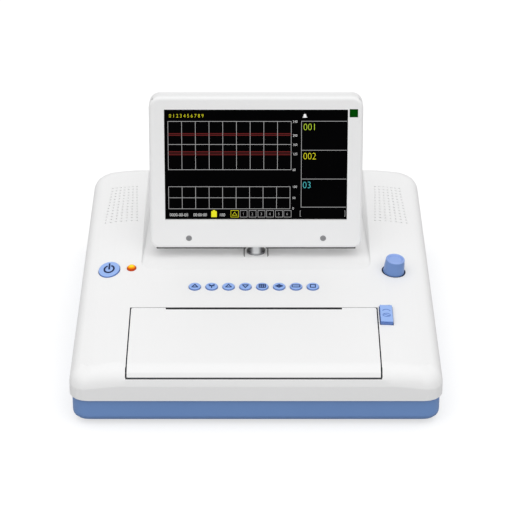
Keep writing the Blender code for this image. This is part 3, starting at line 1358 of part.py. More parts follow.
def makeLever():
    lever = makeFrame("lever_frame", (0.0, lever_y, LEVER_HEIGHT))
    left = PRINTER_X + LEVER_FINGER_START
    bar_run = release_x + LEVER_FROM_RELEASE + LUG_THICKNESS - left
    bar = rod("lever_bar", (left, 0.0, 0.0), bar_run, LEVER_BAR_DIAMETER, 0)
    half_arm = LEVER_ARM_THICKNESS / 2
    arm_front = release_stem_y - RELEASE_STEM_WIDTH / 2 - lever_y
    half_stem = RELEASE_STEM_WIDTH / 2
    arm_low = (release_x - half_stem, arm_front, -half_arm)
    arm = box("lever_arm", arm_low, (release_x + half_stem, 0.0, half_arm), frame=lever)
    finger_rear = platen_y - lever_y + PLATEN_SHAFT_DIAMETER / 2
    finger_high = (left + LEVER_FINGER_WIDTH, finger_rear, half_arm)
    finger = box("lever_finger", (left, 0.0, -half_arm), finger_high, frame=lever)
    union("release_lever", "steel", lever, bar, arm, finger)


def makeSidePanel():
    """The plate in the side window, with a hole for each probe socket."""
    half = SIDE_PANEL_HEIGHT / 2 - GAP
    low = (side_panel_x, side_panel_front + GAP, PROBE_HEIGHT - half)
    high = (side_panel_x + WALL, side_panel_rear - GAP, PROBE_HEIGHT + half)
    panel = box("side_panel", low, high, "grey_plastic")
    for i, y in enumerate(probe_places):
        start = (side_panel_x - OVERRUN, y, PROBE_HEIGHT)
        cut(panel, rod(f"probe_hole_{i + 1}", start, WALL + 2 * OVERRUN, PROBE_DIAMETER + 2 * GAP, 0))


def makeRearPanel():
    """The plate in the rear window, with a hole for each socket and for the earth post."""
    half = REAR_PANEL_WIDTH / 2 - GAP
    half_height = REAR_PANEL_HEIGHT / 2 - GAP
    low = (REAR_PANEL_X - half, rear_panel_y - WALL, REAR_PANEL_Z - half_height)
    high = (REAR_PANEL_X + half, rear_panel_y, REAR_PANEL_Z + half_height)
    cutRearHoles(box("rear_panel", low, high, "grey_plastic"))


def makeProbeSockets():
    for i, y in enumerate(probe_places):
        start = (side_panel_x - PROBE_LIP, y, PROBE_HEIGHT)
        socket = rod(f"probe_socket_{i + 1}", start, PROBE_LENGTH, PROBE_DIAMETER, 0, "grey_plastic",
                     steps=ROUND_STEPS)
        bore_start = (start[0] - OVERRUN, y, PROBE_HEIGHT)
        cut(socket, rod(f"probe_bore_{i + 1}", bore_start, PROBE_BORE_DEPTH + OVERRUN, PROBE_BORE, 0))


def makeRearSockets():
    outer_y = rear_panel_y + PORT_WALL
    inner_y = outer_y - PORT_LENGTH
    bore_y = outer_y - PORT_BORE_DEPTH
    inlet = rod("dc_inlet", (INLET_X, inner_y, REAR_PANEL_Z), PORT_LENGTH, INLET_DIAMETER, 1, "black_plastic")
    cut(inlet, rod("inlet_bore", (INLET_X, bore_y, REAR_PANEL_Z), PORT_LENGTH, INLET_BORE, 1))
    pin_start = (INLET_X, bore_y - WALL, REAR_PANEL_Z)
    join(inlet, rod("inlet_pin", pin_start, PORT_BORE_DEPTH, INLET_PIN, 1, steps=BOSS_STEPS))
    ports = (("lan_port", LAN_X, LAN_WIDTH, LAN_HEIGHT), ("usb_port", USB_X, USB_WIDTH, USB_HEIGHT))
    for name, x, width, height in ports:
        port = portBlock(name, x, width, height, 0.0, inner_y, outer_y, finish="steel")
        cut(port, portBlock(f"{name}_room", x, width, height, -PORT_WALL, bore_y, outer_y + OVERRUN))
    post_run = REAR_PANEL_DEPTH - PORT_WALL
    post = rod("ground_post", (GROUND_X, rear_panel_y + GAP, REAR_PANEL_Z), post_run, GROUND_DIAMETER, 1)
    stud_start = (GROUND_X, rear_panel_y - GROUND_LENGTH / 2, REAR_PANEL_Z)
    stud_run = GROUND_LENGTH / 2 + WALL
    stud = rod("ground_stud", stud_start, stud_run, GROUND_DIAMETER / 2, 1)
    union("ground_post", "steel", None, post, stud)


makeUpperCase()
makeLowerCase()
makeFeet()
makeBattery()
makeMainBoard()
makeKeyBoard()
makeKeys()
makePowerButton()
makeLamp()
makeKnob()
makeSpeakers()
makeBezel()
makeDisplayFront()
makeRearCover()
makeHingeBracket()
makeHingeNeck()
makeDoor()
makeGears()
makePrinterFrame()
makePrintHead()
makeTray()
makeRelease()
makeLever()
makeSidePanel()
makeProbeSockets()
makeRearPanel()
makeRearSockets()
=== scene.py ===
import json
import math

import bmesh
import bpy
from mathutils import Matrix, Vector
from mathutils.bvhtree import BVHTree


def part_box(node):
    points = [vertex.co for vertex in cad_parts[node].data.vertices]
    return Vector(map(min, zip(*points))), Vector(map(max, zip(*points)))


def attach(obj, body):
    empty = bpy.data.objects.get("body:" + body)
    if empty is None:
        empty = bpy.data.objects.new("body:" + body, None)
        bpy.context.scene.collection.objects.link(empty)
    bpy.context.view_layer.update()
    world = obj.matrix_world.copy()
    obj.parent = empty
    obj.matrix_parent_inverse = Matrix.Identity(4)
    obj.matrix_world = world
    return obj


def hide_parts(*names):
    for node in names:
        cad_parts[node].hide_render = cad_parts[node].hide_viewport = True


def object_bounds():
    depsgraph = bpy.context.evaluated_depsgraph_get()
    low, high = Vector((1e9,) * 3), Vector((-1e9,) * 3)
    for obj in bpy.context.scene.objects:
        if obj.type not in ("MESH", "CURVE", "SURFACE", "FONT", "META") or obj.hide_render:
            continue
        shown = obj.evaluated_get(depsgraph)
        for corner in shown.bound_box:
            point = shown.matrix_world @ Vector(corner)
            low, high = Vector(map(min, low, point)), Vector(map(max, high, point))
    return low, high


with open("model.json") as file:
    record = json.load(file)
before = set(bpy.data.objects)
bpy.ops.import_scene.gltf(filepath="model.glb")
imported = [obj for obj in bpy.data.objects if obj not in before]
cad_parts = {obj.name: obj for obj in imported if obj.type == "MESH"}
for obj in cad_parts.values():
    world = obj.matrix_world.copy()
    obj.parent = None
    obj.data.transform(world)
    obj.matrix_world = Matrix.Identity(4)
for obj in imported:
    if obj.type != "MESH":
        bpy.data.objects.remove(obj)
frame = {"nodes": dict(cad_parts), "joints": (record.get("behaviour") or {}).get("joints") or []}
cadLow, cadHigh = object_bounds()
print("frame loaded:", len(frame["nodes"]), "nodes")

# Desk fetal monitor. Lengths are in metres, +Z is up and the front faces -Y.
thinGap = 0.00005
weldDistance = 0.00001
overrun = 0.004
fineSteps = 56
joints = {joint["name"]: joint for joint in frame["joints"]}
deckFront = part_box("upper_case")[0].y
doorLow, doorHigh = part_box("paper_door")
doorAxis = Vector(joints["door_open"]["pos_m"])


# Materials

class Link:
    # one output socket of a material, which can stand in a sum or a product
    def __init__(self, tree, socket=None):
        self.tree = tree
        self.socket = socket

    def add(self, kind, settings=(), values=(), output=0):
        node = self.tree.nodes.new(kind)
        for name, value in dict(settings).items():
            if name == "stops":
                setStops(node.color_ramp, value)
            else:
                setattr(node, name, value)
        for name, value in dict(values).items():
            feed(self.tree, node.inputs[name], value)
        return Link(self.tree, node.outputs[output])

    def maths(self, operation, first, second=0.0):
        return self.add("ShaderNodeMath", {"operation": operation}, {0: first, 1: second})

    def mix(self, mask, first, second):
        kind = {"data_type": "RGBA", "blend_type": "MIX"}
        return self.add("ShaderNodeMix", kind, {0: mask, 6: first, 7: second}, 2)

    def clamp(self):
        return self.add("ShaderNodeClamp", (), {0: self})

    def __add__(self, other):
        return self.maths("ADD", self, other)

    def __sub__(self, other):
        return self.maths("SUBTRACT", self, other)

    def __rsub__(self, other):
        return self.maths("SUBTRACT", other, self)

    def __mul__(self, other):
        return self.maths("MULTIPLY", self, other)

    def __truediv__(self, other):
        return self.maths("DIVIDE", self, other)

    def __lt__(self, other):
        return self.maths("LESS_THAN", self, other)

    def __gt__(self, other):
        return self.maths("GREATER_THAN", self, other)

    __radd__ = __add__
    __rmul__ = __mul__


def setStops(ramp, stops):
    while len(ramp.elements) < len(stops):
        ramp.elements.new(0.5)
    for element, (place, colour) in zip(ramp.elements, stops):
        element.position = place
        element.color = (*colour, 1.0)


def feed(tree, socket, value):
    if isinstance(value, Link):
        tree.links.new(value.socket, socket)
    elif socket.type == "RGBA":
        socket.default_value = (*value, 1.0)
    else:
        socket.default_value = value


def newFinish(name, metallic=0.0, coat=0.0, specular=0.5):
    # a new material with its shader, and the place on the object that its patterns follow
    material = bpy.data.materials.new(name)
    material.use_nodes = True
    shader = material.node_tree.nodes["Principled BSDF"]
    for socket, value in (("Metallic", metallic), ("Coat Weight", coat), ("Specular IOR Level", specular)):
        shader.inputs[socket].default_value = value
    top = Link(material.node_tree)
    return material, top, shader, top.add("ShaderNodeTexCoord", output="Object")


def dress(top, shader, **links):
    # the names of the sockets are written without their spaces
    for name, link in links.items():
        socket = next(each for each in shader.inputs if each.name.replace(" ", "") == name)
        feed(top.tree, socket, link)


def noise(top, place, size, detail=2.0, stretch=None):
    # size is how large one blot of the noise is
    if stretch:
        place = top.add("ShaderNodeMapping", {}, {"Vector": place, "Scale": stretch})
    values = {"Vector": place, "Scale": 1.0 / size, "Detail": detail}
    return top.add("ShaderNodeTexNoise", {"noise_dimensions": "3D"}, values)


def bump(top, height, strength, distance):
    return top.add("ShaderNodeBump", {}, {"Strength": strength, "Distance": distance, "Height": height})


mouldedLook = {
    "cloudSize": 0.045,
    "grainSize": 0.0005,
    "grainDepth": 0.00003,
    "grainStrength": 0.16,
    "grainRough": 0.10,
    "smudgeSize": 0.018,
    "smudgeShare": 0.05,
    "speckSize": 0.0012,
    "speckShare": 0.3,
}
metalLook = {"lineSize": 0.006, "cloudSize": 0.012, "lineShare": 0.6, "lineRough": 0.25, "lineDepth": 0.00003}
rubberLook = {"dustSize": 0.004, "poreSize": 0.0004, "poreStrength": 0.35, "poreDepth": 0.00005}
lensLook = {"rippleSize": 0.0012, "rippleShare": 0.18}
screenLook = {
    "filmSize": 0.030,
    "rough": 0.22,
    "filmRough": 0.16,
    "dotSize": 0.0006,
    "dotShade": 0.82,
    "dotRough": 0.2,
    "dotDepth": 0.00001,
}
neckLook = {"wearSize": 0.0015, "wearShare": 0.10, "wearRough": 0.12, "neck": 0.0072, "collar": 0.0082}
boardLook = {"cells": 260.0, "pad": 0.16, "trackSize": 0.003, "trackLevel": 0.56}
paperLook = {
    "grid": 0.005,
    "line": 0.0003,
    "ink": 0.7,
    "tint": (0.90, 0.55, 0.50),
    "sheet": (0.90, 0.88, 0.83),
    "fibreSize": 0.0008,
    "fibreShade": 0.95,
    "fibreRough": 0.15,
    "fibreDepth": 0.00002,
}


def mouldedFinish(name, colour, shade, roughness, coat=0.0, grain=1.0, specular=0.5):
    # plastic from a spark-eroded mould: a fine grain, slow drift of tint and faint hand marks
    look = mouldedLook
    material, top, shader, place = newFinish(name, coat=coat, specular=specular)
    cloud = noise(top, place, look["cloudSize"], 3.0)
    grains = noise(top, place, look["grainSize"], 2.0)
    smudge = noise(top, place, look["smudgeSize"], 4.0)
    specks = noise(top, place, look["speckSize"], 1.0)
    drift = (cloud * (1.0 - look["speckShare"]) + specks * look["speckShare"]).clamp()
    rough = roughness + (grains - 0.5) * look["grainRough"] + (smudge - 0.5) * look["smudgeShare"]
    relief = bump(top, grains, look["grainStrength"] * grain, look["grainDepth"])
    dress(top, shader, BaseColor=top.mix(drift, shade, colour), Roughness=rough.clamp(), Normal=relief)
    return material


def metalFinish(name, colour, shade, roughness, stretch=(1.0, 24.0, 24.0)):
    # drawn or brushed metal with fine lines along one way
    look = metalLook
    material, top, shader, place = newFinish(name, metallic=1.0)
    lines = noise(top, place, look["lineSize"], 3.0, stretch)
    cloud = noise(top, place, look["cloudSize"], 3.0)
    drift = (lines * look["lineShare"] + cloud * (1.0 - look["lineShare"])).clamp()
    rough = (roughness + (lines - 0.5) * look["lineRough"]).clamp()
    relief = bump(top, lines, 0.2, look["lineDepth"])
    dress(top, shader, BaseColor=top.mix(drift, shade, colour), Roughness=rough, Normal=relief)
    return material


def rubberFinish(name, colour, shade, roughness):
    look = rubberLook
    material, top, shader, place = newFinish(name, specular=0.3)
    dust = noise(top, place, look["dustSize"], 4.0)
    relief = bump(top, noise(top, place, look["poreSize"], 2.0), look["poreStrength"], look["poreDepth"])
    rough = (roughness + (dust - 0.5) * 0.2).clamp()
    dress(top, shader, BaseColor=top.mix(dust, shade, colour), Roughness=rough, Normal=relief)
    return material


def screenFinish(name):
    # dark panel with an anti-glare face: almost black, with a faint film of finger marks
    material, top, shader, place = newFinish(name, specular=0.015)
    film = noise(top, place, screenLook["filmSize"], 5.0)
    tint = top.mix(film, (0.0003, 0.0003, 0.0004), (0.0012, 0.0012, 0.0015))
    rough = screenLook["rough"] + film * screenLook["filmRough"]
    dress(top, shader, BaseColor=tint, Roughness=rough.clamp())
    return material


def glowFinish(name, colour):
    # lit picture dots: the rows of dots are a little brighter in the middle
    material, top, shader, place = newFinish(name, specular=0.06)
    dots = noise(top, place, screenLook["dotSize"], 1.0)
    faint = tuple(screenLook["dotShade"] * share for share in colour)
    tint = top.mix(dots, (0.002, 0.002, 0.002), (0.005, 0.005, 0.005))
    relief = bump(top, dots, 0.1, screenLook["dotDepth"])
    dress(top, shader, EmissionColor=top.mix(dots, faint, colour), BaseColor=tint,
          Roughness=0.3 + dots * screenLook["dotRough"], Normal=relief)
    shader.inputs["Emission Strength"].default_value = 1.0
    return material


def polishedFinish(name, stops, radius):
    # painted reflection: a post coloured light in the middle and dark to its left and right, the reflection
    # of the dark underside painted into its colour
    material, top, shader, place = newFinish(name, coat=0.3, specular=0.4)
    across = top.add("ShaderNodeSeparateXYZ", {}, {"Vector": place})
    wear = noise(top, place, neckLook["wearSize"], 3.0)
    # painted reflection: the colour follows the distance from the post's axis across X
    reach = (across.maths("ABSOLUTE", across) / radius + (wear - 0.5) * neckLook["wearShare"]).clamp()
    tint = top.add("ShaderNodeValToRGB", {"stops": stops}, {0: reach})
    rough = neckLook["wearRough"] + wear * neckLook["wearRough"]
    dress(top, shader, BaseColor=tint, Roughness=rough, Normal=bump(top, wear, 0.08, 0.00002))
    return material


def boardFinish(name):
    # solder mask with copper tracks and tinned pads under it
    look = boardLook
    material, top, shader, place = newFinish(name)
    cells = top.add("ShaderNodeTexVoronoi", {"feature": "F1", "distance": "CHEBYCHEV"},
                    {"Vector": place, "Scale": look["cells"], "Randomness": 0.35})
    pads = cells < look["pad"]
    tracks = noise(top, place, look["trackSize"], 1.0, (1.0, 14.0, 1.0)) > look["trackLevel"]
    mask = top.mix(tracks, (0.010, 0.120, 0.045), (0.020, 0.200, 0.080))
    dress(top, shader, BaseColor=top.mix(pads, mask, (0.62, 0.60, 0.55)), Roughness=0.45 - pads * 0.15,
          Metallic=pads * 0.8, Normal=bump(top, tracks, 0.25, 0.00004))
    return material


def paperFinish(name):
    # chart paper: warm white sheet with a pale printed grid
    look = paperLook
    material, top, shader, place = newFinish(name, specular=0.2)
    across = top.add("ShaderNodeSeparateXYZ", {}, {"Vector": place})
    along = Link(top.tree, across.socket.node.outputs["Y"])
    lines = [way.maths("FRACT", way / look["grid"]) < look["line"] / look["grid"] for way in (across, along)]
    fibres = noise(top, place, look["fibreSize"], 4.0, (1.0, 3.0, 1.0))
    sheet = top.mix(fibres, tuple(look["fibreShade"] * share for share in look["sheet"]), look["sheet"])
    tint = top.mix(top.maths("MAXIMUM", *lines) * look["ink"], sheet, look["tint"])
    rough = 0.72 + fibres * look["fibreRough"]
    relief = bump(top, fibres, 0.3, look["fibreDepth"])
    dress(top, shader, BaseColor=tint, Roughness=rough.clamp(), Normal=relief)
    return material


def lensFinish(name, stops, radius, centre, glow, specular):
    # a lit lens: bright in the middle, deeper towards its rim
    material, top, shader, place = newFinish(name, specular=specular)
    offset = top.add("ShaderNodeVectorMath", {"operation": "SUBTRACT"}, {0: place, 1: centre})
    reach = top.add("ShaderNodeVectorMath", {"operation": "LENGTH"}, {0: offset}, "Value")
    ripple = noise(top, place, lensLook["rippleSize"], 2.0)
    depth = (reach / radius + (ripple - 0.5) * lensLook["rippleShare"]).clamp()
    tint = top.add("ShaderNodeValToRGB", {"stops": stops}, {0: depth})
    dress(top, shader, BaseColor=tint, EmissionColor=tint, Roughness=(0.14 + ripple * 0.10).clamp())
    shader.inputs["Emission Strength"].default_value = glow
    return material


# colour stops of the painted reflections on the hinge's neck and collar
neckReflectionStops = ((0.25, (0.66, 0.67, 0.68)), (0.62, (0.13, 0.13, 0.14)), (0.86, (0.006, 0.006, 0.006)))
collarReflectionStops = ((0.30, (0.30, 0.31, 0.32)), (0.75, (0.10, 0.10, 0.11)), (0.98, (0.01, 0.01, 0.01)))
keyPlastic = {"coat": 0.1, "grain": 0.6}
ink = {"roughness": 0.50, "grain": 0.3}
finishes = {
    "white": mouldedFinish("whiteShell", (0.865, 0.865, 0.865), (0.842, 0.842, 0.844), 0.48, specular=0.3),
    # painted light: displayHousing is a lighter copy of the white shell, so the display's housing renders
    # lighter
    "housing": mouldedFinish("displayHousing", (0.872, 0.872, 0.872), (0.850, 0.850, 0.852), 0.48,
                             specular=0.3),
    # painted shade: the dark finish for the inside of the shell, the seam walls and the door's bead
    "inner": mouldedFinish("innerShellShade", (0.055, 0.055, 0.057), (0.035, 0.035, 0.036), 0.60),
    "blue": mouldedFinish("blueShell", (0.160, 0.290, 0.590), (0.143, 0.266, 0.550), 0.40),
    "key": mouldedFinish("blueKey", (0.312, 0.480, 0.885), (0.284, 0.444, 0.840), 0.34, **keyPlastic),
    "knob": mouldedFinish("blueKnob", (0.276, 0.410, 0.790), (0.252, 0.380, 0.745), 0.34, **keyPlastic),
    # painted shade: a darker copy of the knob blue for the knob's side
    "knobSide": mouldedFinish("blueKnobShadedSide", (0.148, 0.270, 0.590), (0.130, 0.244, 0.545), 0.36,
                              **keyPlastic),
    # painted shade: a darker copy of the key blue for the sides of keys and buttons
    "keySide": mouldedFinish("blueKeySide", (0.120, 0.225, 0.560), (0.100, 0.195, 0.510), 0.40, grain=0.6),
    "keyMark": mouldedFinish("keyMark", (0.020, 0.046, 0.170), (0.014, 0.036, 0.140), specular=0.2, **ink),
    "navy": mouldedFinish("navyMark", (0.008, 0.018, 0.075), (0.005, 0.012, 0.058), specular=0.15, **ink),
    "hinge": polishedFinish("hingePaintedReflection", neckReflectionStops, neckLook["neck"]),
    "collar": polishedFinish("collarPaintedReflection", collarReflectionStops, neckLook["collar"]),
    "grey": mouldedFinish("greyPlastic", (0.36, 0.37, 0.38), (0.31, 0.32, 0.33), 0.46),
    "black": mouldedFinish("blackPlastic", (0.020, 0.020, 0.022), (0.012, 0.012, 0.013), 0.42),
    "gear": mouldedFinish("gearPlastic", (0.82, 0.80, 0.74), (0.76, 0.74, 0.67), 0.42, grain=0.4),
    "wrap": mouldedFinish("batteryWrap", (0.05, 0.09, 0.20), (0.03, 0.06, 0.15), 0.34, coat=0.2, grain=0.5),
    "steel": metalFinish("plainSteel", (0.66, 0.66, 0.67), (0.52, 0.52, 0.53), 0.32),
    "screw": metalFinish("screwSteel", (0.42, 0.42, 0.43), (0.33, 0.33, 0.34), 0.36),
    "darkSteel": metalFinish("darkSteel", (0.060, 0.060, 0.064), (0.040, 0.040, 0.042), 0.34),
    "panelFrame": metalFinish("panelFrame", (0.60, 0.61, 0.62), (0.50, 0.51, 0.52), 0.38, (24.0, 1.0, 24.0)),
    "foot": rubberFinish("footRubber", (0.060, 0.060, 0.062), (0.030, 0.030, 0.031), 0.78),
    "roller": rubberFinish("rollerRubber", (0.075, 0.075, 0.078), (0.040, 0.040, 0.042), 0.66),
    "screen": screenFinish("screenGlass"),
    "board": boardFinish("circuitBoard"),
    "paper": paperFinish("chartPaper"),
}
glowColours = {
    "lineGrey": (0.50, 0.50, 0.50),
    "lineWhite": (0.95, 0.95, 0.95),
    "lineRed": (0.25, 0.020, 0.020),
    "bandRed": (0.034, 0.002, 0.002),
    "lineYellow": (0.90, 0.86, 0.02),
    "lineLime": (0.62, 0.86, 0.05),
    "lineTeal": (0.10, 0.66, 0.70),
}
for name, colour in glowColours.items():
    finishes[name] = glowFinish(name, colour)
print("materials made:", len(finishes))


# Mesh helpers

def roundEdges(bm, edges, radius, steps):
    bmesh.ops.bevel(bm, geom=edges, offset=radius, offset_type="OFFSET", segments=steps, profile=0.5,
                    affect="EDGES", clamp_overlap=True, material=-1)


def block(low, high):
    bm = bmesh.new()
    low = Vector(low)
    high = Vector(high)
    bmesh.ops.create_cube(bm, size=1.0)
    bmesh.ops.scale(bm, vec=high - low, verts=bm.verts)
    bmesh.ops.translate(bm, vec=(low + high) / 2, verts=bm.verts)
    return bm


def edgesAlong(bm, way):
    # the edges that run along X (0), Y (1) or Z (2), at least in part
    return [e for e in bm.edges if abs(e.verts[0].co[way] - e.verts[1].co[way]) > weldDistance]


def plate(low, high, corner, rim=0.0, cornerSteps=8, rimSteps=4):
    # a plate whose outline is rounded in X and Y, and whose upper rim is rounded too
    bm = block(low, high)
    roundEdges(bm, edgesAlong(bm, 2), corner, cornerSteps)
    if rim:
        top = [e for e in bm.edges if min(v.co.z for v in e.verts) > high[2] - weldDistance]
        roundEdges(bm, top, rim, rimSteps)
    return bm


def bend(centre, radius, start, end, steps):
    # points of an arc in a turned profile, its angles in degrees
    for i in range(steps + 1):
        angle = math.radians(start + (end - start) * i / steps)
        yield centre[0] + radius * math.cos(angle), centre[1] + radius * math.sin(angle)


def spun(bm, turn, steps):
    # sweep a form about Z, by a number of degrees
    bmesh.ops.spin(bm, geom=[*bm.verts, *bm.edges, *bm.faces], cent=(0.0, 0.0, 0.0), axis=(0.0, 0.0, 1.0),
                   angle=math.radians(turn), steps=steps, use_merge=turn >= 360.0)
    bmesh.ops.remove_doubles(bm, verts=bm.verts, dist=weldDistance / 10)
    bmesh.ops.recalc_face_normals(bm, faces=bm.faces)
    return bm


def turned(profile, steps=48):
    # a profile of radius and height, swept all the way round
    bm = bmesh.new()
    ring = [bm.verts.new((radius, 0.0, height)) for radius, height in profile]
    for pair in zip(ring, ring[1:]):
        bm.edges.new(pair)
    return spun(bm, 360.0, steps)


def disc(radius, low, high, steps=32):
    return turned([(0.0, low), (radius, low), (radius, high), (0.0, high)], steps)


def addForm(bm, other):
    # put a second form in the same mesh
    spare = bpy.data.meshes.new("spare")
    other.to_mesh(spare)
    other.free()
    bm.from_mesh(spare)
    bpy.data.meshes.remove(spare)
    return bm


def bar(start, end, width, low, high):
    # a straight flat bar between two points on a face
    run = Vector(end) - Vector(start)
    half = Vector((run.length / 2 + width / 2, width / 2, 0.0))
    bm = block((-half.x, -half.y, low), (half.x, half.y, high))
    middle = (Vector(start) + Vector(end)) / 2
    turn = Matrix.Rotation(math.atan2(run.y, run.x), 4, "Z")
    bm.transform(Matrix.Translation((middle.x, middle.y, 0.0)) @ turn)
    return bm


def newObject(name, data):
    item = bpy.data.objects.new(name, data)
    bpy.context.scene.collection.objects.link(item)
    return item


def toObject(name, bm, sharp=35.0):
    mesh = bpy.data.meshes.new(name)
    bm.to_mesh(mesh)
    bm.free()
    mesh.shade_smooth()
    mesh.set_sharp_from_angle(angle=math.radians(sharp))
    return newObject(name, mesh)


def makePiece(name, bm, finish, body, place=None, stands=(), even=True, others=(), sharp=35.0):
    # faces of material index 1 and above get the other finishes
    if place is not None:
        bm.transform(place)
    piece = toObject(name, bm, sharp)
    for each in (finish, *others):
        piece.data.materials.append(finishes[each])
    if even:
        shading = piece.modifiers.new("evenShading", "WEIGHTED_NORMAL")
        shading.keep_sharp = True
    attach(piece, body)
    if stands:
        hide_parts(*stands)
    return piece


def settled(item):
    # the form of an object after its modifiers; the object itself goes
    graph = bpy.context.evaluated_depsgraph_get()
    mesh = bpy.data.meshes.new_from_object(item.evaluated_get(graph))
    bm = bmesh.new()
    bm.from_mesh(mesh)
    bpy.data.meshes.remove(mesh)
    bpy.data.objects.remove(item)
    return bm


def carve(bm, cutters, operation="DIFFERENCE"):
    # take the cutters away from a form with a Boolean, and give the result back as a form
    target = toObject("carveTarget", bm)
    tools = [toObject("carveTool", cutter) for cutter in cutters]
    for tool in tools:
        change = target.modifiers.new("cut", "BOOLEAN")
        change.operation = operation
        change.solver = "EXACT"
        change.object = tool
    made = settled(target)
    for tool in tools:
        bpy.data.objects.remove(tool)
    return made


def tintSides(bm, steepness=0.8):
    # painted shade: the faces that don't look along Z get the next finish, a darker copy that stands in for
    # the shade on the sides
    bm.normal_update()
    for face in bm.faces:
        face.material_index = 0 if face.normal.z > steepness else 1


def nodeForm(node):
    # a merged copy of a CAD node, back to whole flat faces
    bm = bmesh.new()
    bm.from_mesh(frame["nodes"][node].data)
    bmesh.ops.remove_doubles(bm, verts=bm.verts, dist=weldDistance)
    bmesh.ops.dissolve_limit(bm, angle_limit=math.radians(0.4), verts=bm.verts, edges=bm.edges)
    return bm


def localBox(node, place):
    # a node's box in the axes of a place
    back = place.inverted()
    spots = [back @ v.co for v in frame["nodes"][node].data.vertices]
    return [Vector([end(spot[i] for spot in spots) for i in range(3)]) for end in (min, max)]


def over(low, high, height=0.0):
    # the place at the middle of a box, at a height
    return Matrix.Translation(((low.x + high.x) / 2, (low.y + high.y) / 2, height))


def nodeSeat(node, upward):
    # where a node's upper end is, with Z along its axis and X to the right
    up = Vector(upward).normalized()
    right = (Vector((1.0, 0.0, 0.0)) - up * up.x).normalized()
    turn = Matrix((right, up.cross(right), up)).transposed().to_4x4()
    low, high = localBox(node, turn)
    return turn @ over(low, high, high.z), high - low


def pressSeat(node, joint):
    # the seat of a button, whose joint moves it down
    return nodeSeat(node, [-share for share in joints[joint]["axis"]])


def between(start, end, share):
    return start + (end - start) * share


def spanBeside(side, near, far):
    # from the nearer to the farther distance on one side of the middle, as low and high
    return sorted((side * near, side * far))


# Case, with the dotted grilles over the two speakers

grille = {
    "columns": 7,
    "rows": 13,
    "hole": 0.0011,
    "wide": 1.5,
    "depth": 0.0020,
    "innerX": (0.1037, 0.1062),  # at the front row and at the rear row
    "outerX": (0.1316, 0.1280),
    "rowsBack": (0.2229, 0.2790),
    "sides": 10,
}
case = {
    "seam": 0.0005,
    "seamSpare": 0.0002,
    "sill": -0.0019,  # from the door's axis
    "sillDrop": 0.0012,
    "sillOut": 0.0007,
    "sillReach": 0.0030,
    "channel": 0.0041,
    "channelMore": 0.0004,
    "channelDark": 0.0054,
    "channelEnd": 0.0009,
    "cup": 0.0106,
    "cupFloor": 0.0018,
    "slit": 0.0106,
    "slitStart": 0.0015,
    "slitDepth": 0.0012,
    "gap": 0.00025,
    "openRoom": 0.006,
    "sharp": 16.0,
    "step": 0.0001,
}
power = {
    "edge": 0.0008,
    "dish": 0.0002,
    "stretch": 1.25,
    "back": 0.0012,
    "rim": 0.0008,
    "ring": 0.0041,
    "stroke": 0.00135,
    "mark": 0.00014,
    "barTop": 0.0061,
    "barLow": 0.0004,
    "open": 46.0,
}
lamp = {
    "roll": 2.06,
    "stretch": 1.18,
    "dome": 0.0024,
    "lift": 0.0014,
    "rim": 0.0005,
    "steps": 10,
    "stops": ((0.42, (0.98, 0.70, 0.03)), (0.68, (0.92, 0.30, 0.004)), (0.94, (0.50, 0.050, 0.002))),
}


def grilleHoles(deckAt):
    tool = bmesh.new()
    radius = grille["hole"] / 2
    for side in (-1, 1):
        for row in range(grille["rows"]):
            back = row / (grille["rows"] - 1)
            ends = [between(*grille[name], back) for name in ("innerX", "outerX")]
            y = deckFront + between(*grille["rowsBack"], back)
            for column in range(grille["columns"]):
                x = side * between(*ends, column / (grille["columns"] - 1))
                place, normal = deckAt(x, y)
                turn = Vector((0.0, 0.0, 1.0)).rotation_difference(normal).to_matrix().to_4x4()
                hole = Matrix.Translation(place) @ turn @ Matrix.Diagonal((grille["wide"], 1.0, 1.0, 1.0))
                bmesh.ops.create_cone(tool, cap_ends=True, segments=grille["sides"], radius1=radius,
                                      radius2=radius, depth=2 * grille["depth"], matrix=hole)
    return tool


def surfaceFinder(bm):
    # gives the point and the slope of the deck straight below a place
    tree = BVHTree.FromBMesh(bm)
    return lambda x, y: tree.ray_cast(Vector((x, y, cadHigh.z)), Vector((0.0, 0.0, -1.0)))[:2]


def seamRooms():
    # the walls of the case that face the paper door's two sides and its rear edge, painted dark as shade in
    # the seams
    near, far = case["seam"] - case["seamSpare"], case["seam"] + case["seamSpare"]
    front, rear, floor, top = doorLow.y - overrun, doorHigh.y + far, doorLow.z - overrun, doorHigh.z + overrun
    left, right = doorLow.x - far, doorHigh.x + far
    return [
        ((left, front, floor), (doorLow.x - near, rear, top)),
        ((doorHigh.x + near, front, floor), (right, rear, top)),
        ((left, doorHigh.y + near, floor), (right, rear, top)),
    ]


def knobSeat():
    # the round seat in the deck that the knob stands in, as a test for a spot
    place, size = nodeSeat("knob", joints["knob_turn"]["axis"])
    back = place.inverted()
    floor = -size.z - case["cupFloor"]

    def inSeat(spot):
        offset = back @ spot
        return math.hypot(offset.x, offset.y) < case["cup"] and floor < offset.z < 0.0
    return inSeat


def slitCutters():
    # the two slits beside the hinge cover
    low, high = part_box("hinge_cover")
    floor = high.z - case["slitDepth"]
    for side in (-1, 1):
        start, stop = spanBeside(side, high.x - thinGap, case["slit"])
        yield block((start, low.y + case["slitStart"], floor), (stop, high.y, high.z + overrun))


def ovalSeat(seat, stretch, back=0.0, lift=0.0):
    # a node's seat, stretched along its own Y and moved back or up
    place, size = seat
    return place @ Matrix.Translation((0.0, back, lift)) @ Matrix.Diagonal((1.0, stretch, 1.0, 1.0)), size


def powerSeat():
    return ovalSeat(pressSeat("power_button", "power_press"), power["stretch"], back=power["back"])


